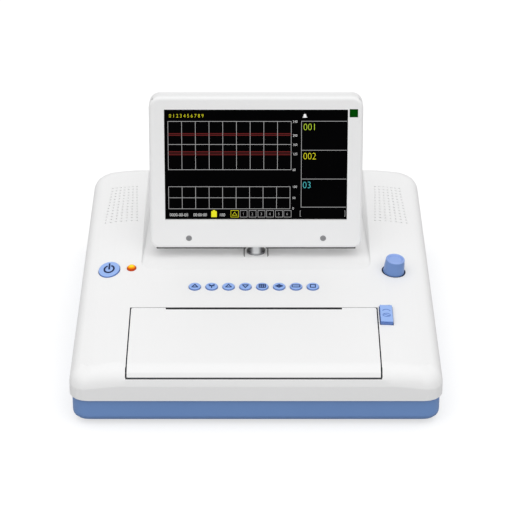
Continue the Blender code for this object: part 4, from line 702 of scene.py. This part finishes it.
def lampSeat():
    # the lamp stands on the part of the deck that falls to the left
    deckUp = -Vector(joints["key_1_press"]["axis"])
    up = Matrix.Rotation(-math.radians(lamp["roll"]), 3, "Y") @ deckUp
    return ovalSeat(nodeSeat("alarm_lamp", up), lamp["stretch"], lift=lamp["lift"])


def ovalHole(seat, rim):
    place, size = seat
    hole = disc(size.x / 2 - rim + case["gap"], -size.z, overrun, fineSteps)
    hole.transform(place)
    return hole


def fromDoorAxis(spot):
    # how far a spot is from the axis that the paper door turns on
    return math.hypot(spot.y - doorAxis.y, spot.z - doorAxis.z)


def byDoor(spot, spare):
    return doorLow.x - spare < spot.x < doorHigh.x + spare


def lowerEdge(bm, height, drop, out):
    # slide one edge at the foot of the door down the rounded front
    for vertex in bm.verts:
        spot = vertex.co
        level = abs(spot.z - doorAxis.z - height) < 2 * thinGap
        if level and byDoor(spot, overrun) and spot.y < deckFront + case["sillReach"]:
            spot.z -= drop
            spot.y -= out


def widenChannel(bm):
    # more room for the door's foot where it turns
    for vertex in bm.verts:
        reach = fromDoorAxis(vertex.co)
        if abs(reach - case["channel"]) < 3 * thinGap and byDoor(vertex.co, overrun):
            centre = Vector((vertex.co.x, doorAxis.y, doorAxis.z))
            vertex.co = centre + (vertex.co - centre) * (1.0 + case["channelMore"] / reach)


def inChannel(spot):
    # painted shade: the channel round the door's axis, out to channelDark, is painted dark
    return byDoor(spot, case["channelEnd"]) and fromDoorAxis(spot) < case["channelDark"]


def within(rooms, spots, spare):
    # do all the spots lie in one of the rooms
    def holds(low, high):
        return all(low[i] - spare < spot[i] < high[i] + spare for spot in spots for i in range(3))
    return any(holds(*room) for room in rooms)


def tintInside(bm, openings):
    # painted shade: what no sky reaches from above, the inside of the shell, gets the dark finish, except in
    # the socket openings; the walls of the door's seams and of the channel at its foot get it too, as painted
    # shadow in the gaps
    bmesh.ops.triangulate(bm, faces=bm.faces)
    bm.normal_update()
    tree = BVHTree.FromBMesh(bm)
    gaps = seamRooms()
    inSeat = knobSeat()
    for face in bm.faces:
        middle = face.calc_center_median()
        covered = tree.ray_cast(middle + face.normal * case["step"], Vector((0.0, 0.0, 1.0)))[0] is not None
        dark = covered and not within(openings, (middle,), case["openRoom"])
        corners = [v.co for v in face.verts]
        gap = within(gaps, corners, thinGap) or all(inChannel(corner) for corner in corners)
        face.material_index = 1 if dark or gap else 0
        if all(inSeat(corner) for corner in corners):
            face.material_index = 2


def makeCase():
    shell = nodeForm("upper_case")
    deckAt = surfaceFinder(shell)
    lowerEdge(shell, case["sill"], case["sillDrop"], case["sillOut"])
    widenChannel(shell)
    holes = [ovalHole(powerSeat(), power["rim"]), ovalHole(lampSeat(), 0.0)]
    shell = carve(shell, [grilleHoles(deckAt), *holes, *slitCutters()])
    tintInside(shell, (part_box("side_panel"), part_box("rear_panel")))
    makePiece("upperShell", shell, "white", "root", stands=("upper_case",),
              others=("inner", "navy"), sharp=case["sharp"])
    for node, name in (("lower_case", "lowerShell"), ("battery_cover", "batteryCover")):
        makePiece(name, nodeForm(node), "blue", "root", stands=(node,))


makeCase()
print("case made")


# Feet

foot = {"edge": 0.0012, "dish": 0.0010, "dishShare": 0.55}


def makeFeet():
    edge = foot["edge"]
    for number in range(1, 5):
        node = f"foot_{number}"
        low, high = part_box(node)
        radius = (high.x - low.x) / 2
        height = high.z - low.z
        inner = radius * foot["dishShare"]
        profile = [(0.0, foot["dish"]), (inner, foot["dish"]), (inner + edge / 2, 0.0)]
        profile += bend((radius - edge, edge), edge, -90, 0, 4)
        profile += [(radius, height), (0.0, height)]
        place = over(low, high, low.z)
        makePiece(f"rubberFoot{number}", turned(profile), "foot", "root", place, (node,))


makeFeet()
print("feet made")


# Display. Its own axes are X to the right, Y up the display and Z out of its face.

display = {
    "lean": 10.0,
    "topCorner": 0.0098,
    "bottomCorner": 0.0070,
    "rim": 0.0028,
    "wall": 0.0025,
    "windowSoft": 0.0006,
    "screwSlot": 0.0008,
    "screwSlotDepth": 0.0006,
    "screwSlotShare": 0.62,
    "lipSide": 0.0050,
    "lipGap": 0.0084,
    "lipDrop": 0.0013,
    "lipThick": 0.0014,
}
pivot = Vector(joints["display_tilt"]["pos_m"])
lean = Matrix.Rotation(-math.radians(display["lean"]), 4, "X")
displayPlace = Matrix.Translation(pivot) @ lean @ Matrix.Rotation(math.radians(90.0), 4, "X")
bezelLow, bezelHigh = localBox("display_bezel", displayPlace)
glassLow, glassHigh = localBox("display_glass", displayPlace)
coverLow, coverHigh = localBox("display_rear_cover", displayPlace)
statusLow, statusHigh = localBox("status_window", displayPlace)
screen = {
    "lap": 0.002,  # how far the glass reaches under the bezel
    "raise": 0.00004,
    "thick": 0.00008,
    "line": 0.00034,
    "thinLine": 0.00028,
    "upperChart": (0.020, 0.692, 0.1126, 0.548),  # left, right, top and bottom as shares of the window
    "upperRows": (0.0, 0.476, 1.0),
    "lowerChart": (0.020, 0.687, 0.703, 0.905),
    "lowerRows": (0.0, 0.5, 1.0),
    "columns": 9,
    "redPair": (0.249, 0.288),
    "redBand": (0.624, 0.691),
    "upperScale": (("240", 0.1126), ("200", 0.237), ("160", 0.320), ("120", 0.404), ("60", 0.548)),
    "lowerScale": (("100", 0.703), ("50", 0.804), ("0", 0.900)),
    "scaleX": 0.7,
    "scaleDrop": 0.012,
    "figure": 0.0021,
    "sideX": 0.748,
    "sideRight": 0.9955,
    "sideRows": (0.111, 0.372, 0.633, 0.890),
    "sideFigure": 0.0060,
    "sideThin": 0.030,
    "narrow": 0.88,
    "capital": 0.7,  # height of a figure as a share of the letters' size
    "sideTexts": (("lineLime", "001", 0.757, 0.192), ("lineYellow", "002", 0.757, 0.455),
                  ("lineTeal", "03", 0.755, 0.717)),
    "title": ("0 1 2 3 4 5 6 7 8 9", 0.026, 0.078, 0.0031),
    "footTexts": (("0000-00-00", 0.024), ("00:00:00", 0.154), ("100", 0.297)),
    "footBase": 0.974,
    "footFigure": 0.0027,
    "battery": (0.2535, 0.284, 0.927, 0.981),
    "batteryCap": (0.262, 0.2755, 0.917, 0.928),
    "iconRows": (0.9206, 0.981),
    "icons": ((0.3616, 0.4029), (0.4125, 0.4512), (0.4617, 0.5004), (0.511, 0.5496), (0.5584, 0.597),
              (0.6076, 0.6462), (0.6533, 0.6937)),
    "iconFigure": 0.0024,
    "iconFigureIn": (0.013, 0.017),
    "iconPeakIn": (0.008, 0.016, 0.014),
    "brackets": (0.743, 0.9907),
    "bracketRows": (0.9235, 0.974),
    "bracketFoot": 0.004,
    "bell": (0.766, 0.078, 0.0015),
    "bellShape": (0.8, 1.15, 1.0),
}
windowLow = Vector((glassLow.x + screen["lap"], glassLow.y + screen["lap"], glassHigh.z))
windowHigh = Vector((glassHigh.x - screen["lap"], glassHigh.y - screen["lap"], glassHigh.z))


def housingHalf(low, high):
    # one half of the housing: larger corners at its top than at its bottom
    bm = block(low, high)
    for end, name, steps in ((high.y, "topCorner", 12), (low.y, "bottomCorner", 10)):
        corners = [e for e in edgesAlong(bm, 2) if abs(e.verts[0].co.y - end) < weldDistance]
        corners = [e for e in corners if abs(abs(e.verts[0].co.x) - high.x) < weldDistance]
        roundEdges(bm, corners, display[name], steps)
    return bm


def rimOf(bm, height):
    return [e for e in bm.edges if all(abs(v.co.z - height) < weldDistance for v in e.verts)]


def makeBezel():
    bm = housingHalf(bezelLow, bezelHigh)
    roundEdges(bm, rimOf(bm, bezelHigh.z), display["rim"], 6)
    front = bezelHigh.z
    back, outside = bezelLow.z - overrun, front + overrun
    wall = display["wall"]
    cutters = [
        block((bezelLow.x + wall, bezelLow.y + wall, back),
              (bezelHigh.x - wall, bezelHigh.y - wall, front - wall)),
        block((windowLow.x, windowLow.y, back), (windowHigh.x, windowHigh.y, outside)),
        block((statusLow.x - thinGap, statusLow.y - thinGap, bezelLow.z),
              (statusHigh.x + thinGap, statusHigh.y + thinGap, outside)),
    ]
    for side in ("left", "right"):
        low, high = localBox(f"bezel_screw_{side}", displayPlace)
        hole = disc((high.x - low.x) / 2 + thinGap, low.z, outside)
        hole.transform(over(low, high))
        cutters.append(hole)
    bm = carve(bm, cutters)
    makePiece("displayBezel", bm, "housing", "display", displayPlace, ("display_bezel",))


def makeRearCover():
    # the CAD's cover, brought to the bezel's larger corners at its top
    bm = nodeForm("display_rear_cover")
    bm.transform(displayPlace.inverted())
    outside = housingHalf(coverLow - Vector((0.0, 0.0, overrun)), coverHigh + Vector((0.0, 0.0, overrun)))
    bm = carve(bm, [outside], operation="INTERSECT")
    makePiece("displayCover", bm, "housing", "display", displayPlace, ("display_rear_cover",))


def makeLip():
    # painted shadow: a dark strip in the feet's rubber finish under the housing's lower edge, put where shade
    # falls between the housing and the well floor, open where the hinge's neck passes it
    end = bezelHigh.x - display["lipSide"]
    front = bezelHigh.z - display["rim"]
    drop = display["lipDrop"]
    for name, side in (("Left", -1), ("Right", 1)):
        start, stop = spanBeside(side, display["lipGap"], end)
        bm = block((start, bezelLow.y - drop, front - display["lipThick"]), (stop, bezelLow.y + drop, front))
        roundEdges(bm, [e for e in edgesAlong(bm, 0) if e.verts[0].co.y < bezelLow.y], drop / 4, 3)
        makePiece(f"displayLip{name}", bm, "foot", "display", displayPlace)


def makeBezelScrews():
    for side in ("left", "right"):
        node = f"bezel_screw_{side}"
        low, high = localBox(node, displayPlace)
        radius = (high.x - low.x) / 2
        half = display["screwSlot"] / 2
        under = high.z - 3 * half
        head = [(0.0, low.z), (radius / 2, low.z), (radius / 2, under), (radius, under)]
        head += [*bend((radius - half, high.z - half), half, 0, 90, 4), (0.0, high.z)]
        reach = radius * display["screwSlotShare"]
        floor, top = high.z - display["screwSlotDepth"], high.z + overrun
        slots = [block((-x, -y, floor), (x, y, top)) for x, y in ((reach, half), (half, reach))]
        bm = carve(turned(head, 32), slots)
        bm.transform(over(low, high))
        makePiece(f"bezelScrew{side.title()}", bm, "screw", "display", displayPlace, (node,))


def makeStatusWindow():
    rim = display["windowSoft"]
    bm = plate(statusLow, statusHigh, rim, rim / 2, 4, 3)
    centre = tuple(displayPlace @ ((statusLow + statusHigh) / 2))
    reach = statusHigh.x - statusLow.x
    stops = ((0.2, (0.0, 0.060, 0.001)), (0.9, (0.0, 0.042, 0.001)))
    finishes["status"] = lensFinish("greenWindow", stops, reach, centre, glow=0.05, specular=0.02)
    makePiece("statusWindow", bm, "status", "display", displayPlace, ("status_window",))


def onScreen(across, down):
    # a place on the picture from its shares across and down the window
    return Vector((between(windowLow.x, windowHigh.x, across), between(windowHigh.y, windowLow.y, down)))


picture = {}


def draw(finish, form):
    # collect the forms of one colour, so that each colour is one piece
    if finish not in picture:
        picture[finish] = bmesh.new()
    addForm(picture[finish], form)


markLow = glassHigh.z + screen["raise"]
markHigh = markLow + screen["thick"]


def drawRun(finish, points, width):
    # straight lines from each point to the next
    for start, end in zip(points, points[1:]):
        draw(finish, bar(onScreen(*start), onScreen(*end), width, markLow, markHigh))


def drawFigures(finish, text, across, down, height, thin=0.02):
    # plain numbers, set from their lower left corner
    curve = bpy.data.curves.new("figures", "FONT")
    curve.body = text
    curve.size = height / screen["capital"]
    curve.offset = -thin * height
    curve.extrude = (markHigh - markLow) / 2
    curve.resolution_u = 3
    form = settled(newObject("figures", curve))
    bmesh.ops.scale(form, vec=(screen["narrow"], 1.0, 1.0), verts=form.verts)
    form.transform(Matrix.Translation((*onScreen(across, down), (markLow + markHigh) / 2)))
    draw(finish, form)


def drawPatch(finish, left, right, top, bottom):
    # a filled patch, a little lower than the lines
    corner = (*onScreen(left, bottom), markLow - screen["raise"] / 2)
    draw(finish, block(corner, (*onScreen(right, top), markHigh - screen["raise"])))


def drawChart(area, rows):
    left, right, top, bottom = area
    for i in range(screen["columns"] + 1):
        x = between(left, right, i / screen["columns"])
        drawRun("lineGrey", ((x, top), (x, bottom)), screen["line"])
    for row in rows:
        y = between(top, bottom, row)
        drawRun("lineGrey", ((left, y), (right, y)), screen["line"])


def drawScale():
    for text, down in (*screen["upperScale"], *screen["lowerScale"]):
        drawFigures("lineWhite", text, screen["scaleX"], down + screen["scaleDrop"], screen["figure"])


def drawRed():
    left, right, top, bottom = screen["upperChart"]
    for shares in (screen["redPair"], screen["redBand"]):
        rows = [between(top, bottom, share) for share in shares]
        drawPatch("bandRed", left, right, *rows)
        for y in rows:
            drawRun("lineRed", ((left, y), (right, y)), screen["thinLine"])


def drawSide():
    side = screen["sideX"]
    rows = screen["sideRows"]
    drawRun("lineGrey", ((side, rows[0]), (side, rows[-1])), screen["line"])
    for row in rows:
        drawRun("lineGrey", ((side, row), (screen["sideRight"], row)), screen["line"])
    for finish, text, across, down in screen["sideTexts"]:
        drawFigures(finish, text, across, down, screen["sideFigure"], screen["sideThin"])
    top, bottom = screen["bracketRows"]
    for across, way in zip(screen["brackets"], (1, -1)):
        tip = across + way * screen["bracketFoot"]
        corners = ((tip, top), (across, top), (across, bottom), (tip, bottom))
        drawRun("lineGrey", corners, screen["thinLine"])


def drawBell():
    # a small bell: a dome on a wide bar
    across, down, radius = screen["bell"]
    base = onScreen(across, down)
    dome = disc(radius, markLow, markHigh, 24)
    bmesh.ops.scale(dome, vec=screen["bellShape"], verts=dome.verts)
    dome.transform(Matrix.Translation((base.x, base.y + radius, 0.0)))
    draw("lineWhite", dome)
    ends = [(base.x + way * radius, base.y + radius / 4) for way in (-1, 1)]
    draw("lineWhite", bar(*ends, radius / 2, markLow, markHigh))


def drawIcons():
    top, bottom = screen["iconRows"]
    for i, (left, right) in enumerate(screen["icons"]):
        corners = ((left, top), (right, top), (right, bottom), (left, bottom), (left, top))
        drawRun("lineGrey" if i else "lineYellow", corners, screen["thinLine"])
        if i:
            across, up = screen["iconFigureIn"]
            drawFigures("lineGrey", str(i), left + across, bottom - up, screen["iconFigure"])
    left, right = screen["icons"][0]
    side, up, down = screen["iconPeakIn"]
    corner = (left + side, bottom - up)
    peak = (corner, ((left + right) / 2, top + down), (right - side, bottom - up), corner)
    drawRun("lineYellow", peak, screen["thinLine"])
    drawPatch("lineYellow", *screen["battery"])
    drawPatch("lineYellow", *screen["batteryCap"])


def makePicture():
    drawChart(screen["upperChart"], screen["upperRows"])
    drawChart(screen["lowerChart"], screen["lowerRows"])
    drawRed()
    drawScale()
    drawSide()
    drawBell()
    drawIcons()
    text, across, down, height = screen["title"]
    drawFigures("lineYellow", text, across, down, height)
    for text, across in screen["footTexts"]:
        drawFigures("lineWhite", text, across, screen["footBase"], screen["footFigure"])
    for finish, form in picture.items():
        name = finish[0].upper() + finish[1:]
        makePiece(f"picture{name}", form, finish, "display", displayPlace, even=False)


def makeGlass():
    bm = plate(glassLow, glassHigh, display["windowSoft"], 0.0, 3)
    makePiece("displayGlass", bm, "screen", "display", displayPlace, ("display_glass",))


makeBezel()
makeRearCover()
makeLip()
makeBezelScrews()
makeStatusWindow()
makeGlass()
makePicture()
print("display made")


# Hinge

hinge = {
    "flange": 0.0016,
    "flangeEdge": 0.0006,
    "waist": 0.0068,
    "waistSoft": 0.0010,
    "frontGap": 0.0004,
    "seal": (-0.0003, 0.0002),  # from the floor of the slits
}


def makeHinge():
    low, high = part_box("hinge_neck")
    plateLow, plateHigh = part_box("hinge_cover")
    radius = (high.x - low.x) / 2
    seat = plateHigh.z
    waist = hinge["waist"]
    step = seat + hinge["flange"]
    soft = hinge["waistSoft"]
    neck = [(0.0, seat), (waist + soft, seat), (waist + soft, step)]
    neck += [*bend((waist + soft, step + soft), soft, 270, 180, 5), (waist, high.z), (0.0, high.z)]
    place = over(low, high)
    makePiece("hingeNeck", turned(neck, fineSteps), "hinge", "root", place, ("hinge_neck",))
    edge = hinge["flangeEdge"]
    inner = waist + soft + thinGap
    collar = [(0.0, low.z), (radius, low.z), *bend((radius - edge, step - edge), edge, 0, 90, 5)]
    collar += [(inner, step), (inner, seat - thinGap), (0.0, seat - thinGap)]
    makePiece("hingeCollar", turned(collar, fineSteps), "collar", "root", place)
    cover = nodeForm("hinge_cover")
    for vertex in cover.verts:
        if vertex.co.y < plateLow.y + thinGap:
            vertex.co.y -= hinge["frontGap"]
    makePiece("hingeCover", cover, "white", "root", stands=("hinge_cover",))
    bottom, top = (plateHigh.z - case["slitDepth"] + level for level in hinge["seal"])
    for name, side in (("Left", -1), ("Right", 1)):
        start, stop = spanBeside(side, plateHigh.x + thinGap, case["slit"] - thinGap)
        front = plateLow.y + case["slitStart"] + thinGap
        strip = block((start, front, bottom), (stop, plateHigh.y - thinGap, top))
        makePiece(f"slitSeal{name}", strip, "foot", "root")


makeHinge()
print("hinge made")


# Paper door

door = {"bead": 0.0027, "edge": -0.0008, "drop": 0.00085, "out": 0.0005, "narrow": 0.0005, "sideRoom": 0.0003}


def makeDoor():
    # painted shade: the round bead on the door's axis gets the dark inner finish, and shows as a dark shadow
    # line below the door's front
    bm = nodeForm("paper_door")
    for vertex in bm.verts:
        if vertex.co.x < doorLow.x + door["sideRoom"]:
            vertex.co.x += door["narrow"]
        elif vertex.co.x > doorHigh.x - door["sideRoom"]:
            vertex.co.x -= door["narrow"]
    lowerEdge(bm, door["edge"], door["drop"], door["out"])
    for face in bm.faces:
        middle = face.calc_center_median()
        bead = fromDoorAxis(middle) < door["bead"] and middle.z < doorAxis.z + door["edge"]
        face.material_index = 1 if bead else 0
    makePiece("paperDoor", bm, "white", "door", stands=("paper_door",), others=("inner",))


makeDoor()
print("door made")


# Keys, each with its plain mark

button = {"skirt": 0.0010, "dishReach": 0.55, "dishMiddle": 0.7, "dishRim": 0.1}
key = {
    "rim": 0.00092,
    "edge": 0.0007,
    "dish": 0.00015,
    "mark": 0.00010,
    "stroke": 0.00080,
    "size": 0.0026,
}


def ringForm(radius, width, low, high, start=0.0, turn=360.0, steps=36):
    # a flat ring or an open arc, made by spinning a small section
    bm = bmesh.new()
    bmesh.ops.create_grid(bm, x_segments=1, y_segments=1, size=0.5)
    bmesh.ops.scale(bm, vec=(width, high - low, 1.0), verts=bm.verts)
    bm.transform(Matrix.Rotation(math.radians(90.0), 4, "X"))
    bm.transform(Matrix.Translation((radius, 0.0, (low + high) / 2)))
    bm.transform(Matrix.Rotation(math.radians(start), 4, "Z"))
    return spun(bm, turn, steps)


def strokes(runs, size, width, low, high):
    # flat bars from point to point, the points in shares of a size
    form = bmesh.new()
    for points in runs:
        for start, end in zip(points, points[1:]):
            addForm(form, bar(Vector(start) * size, Vector(end) * size, width, low, high))
    return form


def markPoints():
    # the marks of the eight keys, as lists of strokes in shares of the mark's size
    peak = ((-0.9, -0.6), (0.0, 0.9), (0.9, -0.6), (-0.9, -0.6))
    down = ((-0.9, 0.6), (0.0, -0.9), (0.9, 0.6), (-0.9, 0.6))
    wide = ((-1.25, -0.6), (1.25, -0.6), (1.25, 0.6), (-1.25, 0.6), (-1.25, -0.6))
    square = ((-0.8, -0.8), (0.8, -0.8), (0.8, 0.8), (-0.8, 0.8), (-0.8, -0.8))
    diamond = ((-1.1, 0.0), (0.0, 0.8), (1.1, 0.0), (0.0, -0.8), (-1.1, 0.0))
    branch = (((0.0, -1.0), (0.0, 0.0), (-0.8, 0.8)), ((0.0, 0.0), (0.8, 0.8)),
              ((-0.8, 0.1), (0.0, 0.0), (0.8, 0.1)))
    grid = [((x, -0.9), (x, 0.9)) for x in (-1.0, -0.33, 0.33, 1.0)]
    grid += [((-1.0, y), (1.0, y)) for y in (-0.9, 0.0, 0.9)]
    cross = (((-0.5, 0.0), (0.5, 0.0)), ((0.0, -0.35), (0.0, 0.35)))
    return ((peak,), branch, (peak,), (down,), grid, (diamond, *cross), (wide,), (square,))


def buttonForm(size, values):
    # a round cap on a wider skirt: its rim rounded, its top at z 0 and faintly dished
    height, edge, dish = size.z, values["edge"], values["dish"]
    radius = size.x / 2 - values["rim"]
    profile = [(0.0, -dish), (radius * button["dishReach"], -dish * button["dishMiddle"])]
    profile.append((radius - 2 * edge, -dish * button["dishRim"]))
    profile += reversed(list(bend((radius - edge, -edge), edge, 0, 90, 5)))
    profile += [(radius, -height), (0.0, -height)]
    cap = turned(profile, fineSteps)
    addForm(cap, disc(size.x / 2, -height, button["skirt"] - height, 40))
    tintSides(cap)
    return cap


def makeKeys():
    low, high = -key["dish"] - key["mark"], key["mark"]
    for i, (letter, marks) in enumerate(zip("abcdefgh", markPoints()), 1):
        node, body = f"key_{i}", f"key_{letter}"
        place, size = pressSeat(node, f"key_{i}_press")
        cap = buttonForm(size, key)
        makePiece(f"key{i}", cap, "key", body, place, (node,), others=("keySide",))
        form = strokes(marks, key["size"], key["stroke"], low, high)
        makePiece(f"keyMark{i}", form, "keyMark", body, place, even=False)


makeKeys()
print("keys made")


# Power button and alarm lamp

def makePower():
    place, size = powerSeat()
    cap = buttonForm(size, power)
    makePiece("powerButton", cap, "key", "power", place, ("power_button",), others=("keySide",))
    low = -power["dish"] - power["mark"]
    half = power["open"] / 2
    arc = ringForm(power["ring"], power["stroke"], low, power["mark"], 90 + half, 360 - 2 * half, 40)
    addForm(arc, bar((0.0, power["barLow"]), (0.0, power["barTop"]), power["stroke"], low, power["mark"]))
    makePiece("powerMark", arc, "navy", "power", place, even=False)


def makeLamp():
    place, size = lampSeat()
    radius = size.x / 2
    dome = lamp["dome"]
    ball = (radius**2 + dome**2) / (2 * dome)
    profile = [(0.0, 0.0)]
    for i in range(1, lamp["steps"] + 1):
        reach = (radius - lamp["rim"] / 4) * i / lamp["steps"]
        profile.append((reach, math.sqrt(ball**2 - reach**2) - ball))
    profile += [(radius, -dome - lamp["rim"] / 2), (radius, -size.z), (0.0, -size.z)]
    centre = tuple(place @ Vector((0.0, 0.0, -dome / 2)))
    finishes["lamp"] = lensFinish("amberLens", lamp["stops"], radius, centre, glow=0.10, specular=0.08)
    makePiece("alarmLamp", turned(profile), "lamp", "root", place, ("alarm_lamp",))


makePower()
makeLamp()
print("power button and lamp made")


# Control knob

knob = {
    "edge": 0.0011,
    "sideSlope": 0.35,
    "dish": 0.0013,
    "dishEdge": 0.0013,
    "steps": 72,
    "baseEdge": 0.0003,
    "taper": 0.0010,
    "bore": 0.0032,
}


def makeKnob():
    place, size = nodeSeat("knob", joints["knob_turn"]["axis"])
    base = size.x / 2
    top = base - knob["taper"]
    height = size.z
    edge = knob["edge"]
    profile = [(0.0, -knob["dish"]), (top - edge - knob["dishEdge"], -knob["dish"])]
    profile += [(top - edge - knob["dishEdge"] / 2, -knob["dish"] / 4)]
    profile += reversed(list(bend((top - edge, -edge), edge, 0, 90, 6)))
    profile += [(base, -height + knob["baseEdge"]), (base - knob["baseEdge"], -height)]
    profile += [(knob["bore"], -height), (knob["bore"], -height / 2), (0.0, -height / 2)]
    bm = turned(profile, knob["steps"])
    tintSides(bm, knob["sideSlope"])
    makePiece("controlKnob", bm, "knob", "dial", place, ("knob",), others=("knobSide",))


makeKnob()
print("knob made")


# Door release button

release = {
    "side": 0.0001,
    "corner": 0.0007,
    "edge": 0.0004,
    "ledge": 0.0010,
    "rearGap": 0.0012,
    "frontGap": 0.0003,
    "mark": 0.00016,
    "stroke": 0.00065,
    "arc": 0.0033,
    "arcUp": 0.0034,
    "arcSpan": (20.0, 140.0),
    "oval": 0.0030,
    "ovalDown": 0.0030,
    "ovalShape": (1.0, 0.8, 1.0, 1.0),
    "slash": 0.0021,
    "deep": 0.0045,
}


def makeRelease():
    # the finger pad stands on the CAD's own body, which stays below the deck
    place, size = pressSeat("release_button", "release_press")
    side = size.x / 2 - release["side"]
    back = size.y / 2 - release["side"]
    low = (-side, release["frontGap"] - back, -release["deep"])
    pad = plate(low, (side, back - release["rearGap"], 0.0), release["corner"], release["edge"], 5, 4)
    tintSides(pad)
    body = nodeForm("release_button")
    body.transform(place.inverted())
    # the body below the deck takes the darker painted-shade side blue
    for face in body.faces:
        face.material_index = 1
    drop = [f for f in body.faces if f.calc_center_median().z > -release["edge"]]
    for vertex in {v for face in drop for v in face.verts}:
        vertex.co.z -= release["ledge"]
    makePiece("releaseButton", addForm(pad, body), "key", "release", place, ("release_button",),
              others=("keySide",))
    low, high = -release["edge"] / 2, release["mark"]
    mark = ringForm(release["arc"], release["stroke"], low, high, *release["arcSpan"], 24)
    mark.transform(Matrix.Translation((0.0, release["arcUp"] - release["arc"] / 2, 0.0)))
    oval = ringForm(release["oval"], release["stroke"], low, high)
    reach, middle = release["slash"], -release["ovalDown"]
    oval.transform(Matrix.Translation((0.0, middle, 0.0)) @ Matrix.Diagonal(release["ovalShape"]))
    addForm(mark, oval)
    ends = ((-reach, middle + reach / 2), (reach, middle - reach / 2))
    addForm(mark, bar(*ends, release["stroke"], low, high))
    makePiece("releaseMark", mark, "keySide", "release", place, even=False)


makeRelease()
print("release made")


# CAD nodes that keep their own shape

plainNodes = {
    "darkSteel": ("door_rod",),
    "steel": ("hinge_bracket", "hinge_shaft", "platen_shaft", "printer_frame", "stepper_motor",
              "release_lever", "encoder_plunger", "ground_post", "lan_port", "usb_port"),
    "panelFrame": ("lcd_module",),
    "grey": ("probe_socket_1", "probe_socket_2", "probe_socket_3", "probe_socket_4", "encoder_body",
             "paper_tray", "side_panel", "rear_panel"),
    "black": ("dc_inlet", "speaker_left", "speaker_right", "print_head"),
    "gear": ("platen_gear", "idler_gear", "motor_pinion"),
    "board": ("main_board", "key_board"),
    "wrap": ("battery_pack",),
    "paper": ("paper_pack",),
    "roller": ("platen_roller",),
}
for finish, nodes in plainNodes.items():
    for node in nodes:
        looks = frame["nodes"][node].data.materials
        looks.clear()
        looks.append(finishes[finish])
print("inner nodes painted")


# Floor, light and camera

stage = {
    "floorSize": 30.0,
    "floorColour": (0.48, 0.48, 0.48),
    "floorSeen": (0.42, 0.42, 0.42),
    "floorLift": 0.63,
    "world": 0.65,
    "mirrored": 0.68,
    "sun": 1.44,
    "sunHeight": 65.0,
    "sunSpread": 90.0,
}
camera = {
    "elevation": 28.0,
    "distance": 1.9689,
    "setback": 0.1525,
    "height": 0.0742,
    "lens": 163.8,
    "sensor": 36.0,
}


def floorFinish():
    material = bpy.data.materials.new("paleFloor")
    material.use_nodes = True
    tree = material.node_tree
    tree.nodes.remove(tree.nodes["Principled BSDF"])
    top = Link(tree)
    diffuse = top.add("ShaderNodeBsdfDiffuse", {}, {"Color": stage["floorColour"]})
    seen = top.add("ShaderNodeBsdfDiffuse", {}, {"Color": stage["floorSeen"]})
    lift = top.add("ShaderNodeEmission", {}, {"Color": (1.0, 1.0, 1.0), "Strength": stage["floorLift"]})
    bright = top.add("ShaderNodeAddShader", {}, {0: seen, 1: lift})
    path = top.add("ShaderNodeLightPath", output="Is Camera Ray")
    both = top.add("ShaderNodeMixShader", {}, {0: path, 1: diffuse, 2: bright})
    feed(tree, tree.nodes["Material Output"].inputs["Surface"], both)
    return material


def makeFloor():
    bm = bmesh.new()
    bmesh.ops.create_grid(bm, x_segments=1, y_segments=1, size=stage["floorSize"] / 2)
    floor = toObject("floor", bm)
    floor.data.materials.append(floorFinish())


def makeWorld():
    world = bpy.data.worlds.new("studio")
    bpy.context.scene.world = world
    world.use_nodes = True
    tree = world.node_tree
    top = Link(tree)
    paths = top.add("ShaderNodeLightPath", output="Is Camera Ray")
    glossy = Link(tree, paths.socket.node.outputs["Is Glossy Ray"])
    through = Link(tree, paths.socket.node.outputs["Is Transmission Ray"])
    direct = top.maths("MAXIMUM", paths, through)
    around = stage["world"]
    strength = around + direct * (1.0 - around) + glossy * (stage["mirrored"] - around)
    feed(tree, tree.nodes["Background"].inputs["Color"], (1.0, 1.0, 1.0))
    feed(tree, tree.nodes["Background"].inputs["Strength"], strength)


def makeSun():
    # one wide, soft light from above the front
    light = bpy.data.lights.new("softSun", "SUN")
    light.energy = stage["sun"]
    light.angle = math.radians(stage["sunSpread"])
    newObject("softSun", light).rotation_euler = (math.radians(90.0 - stage["sunHeight"]), 0.0, 0.0)


def makeCamera():
    data = bpy.data.cameras.new("camera")
    data.lens = camera["lens"]
    data.sensor_width = camera["sensor"]
    item = newObject("camera", data)
    rise = math.radians(camera["elevation"])
    target = Vector((0.0, deckFront + camera["setback"], camera["height"]))
    item.location = target + camera["distance"] * Vector((0.0, -math.cos(rise), math.sin(rise)))
    item.rotation_euler = (math.pi / 2 - rise, 0.0, 0.0)
    bpy.context.scene.camera = item


makeFloor()
makeWorld()
makeSun()
makeCamera()
bpy.context.scene.view_settings.view_transform = "Standard"
print("stage made")
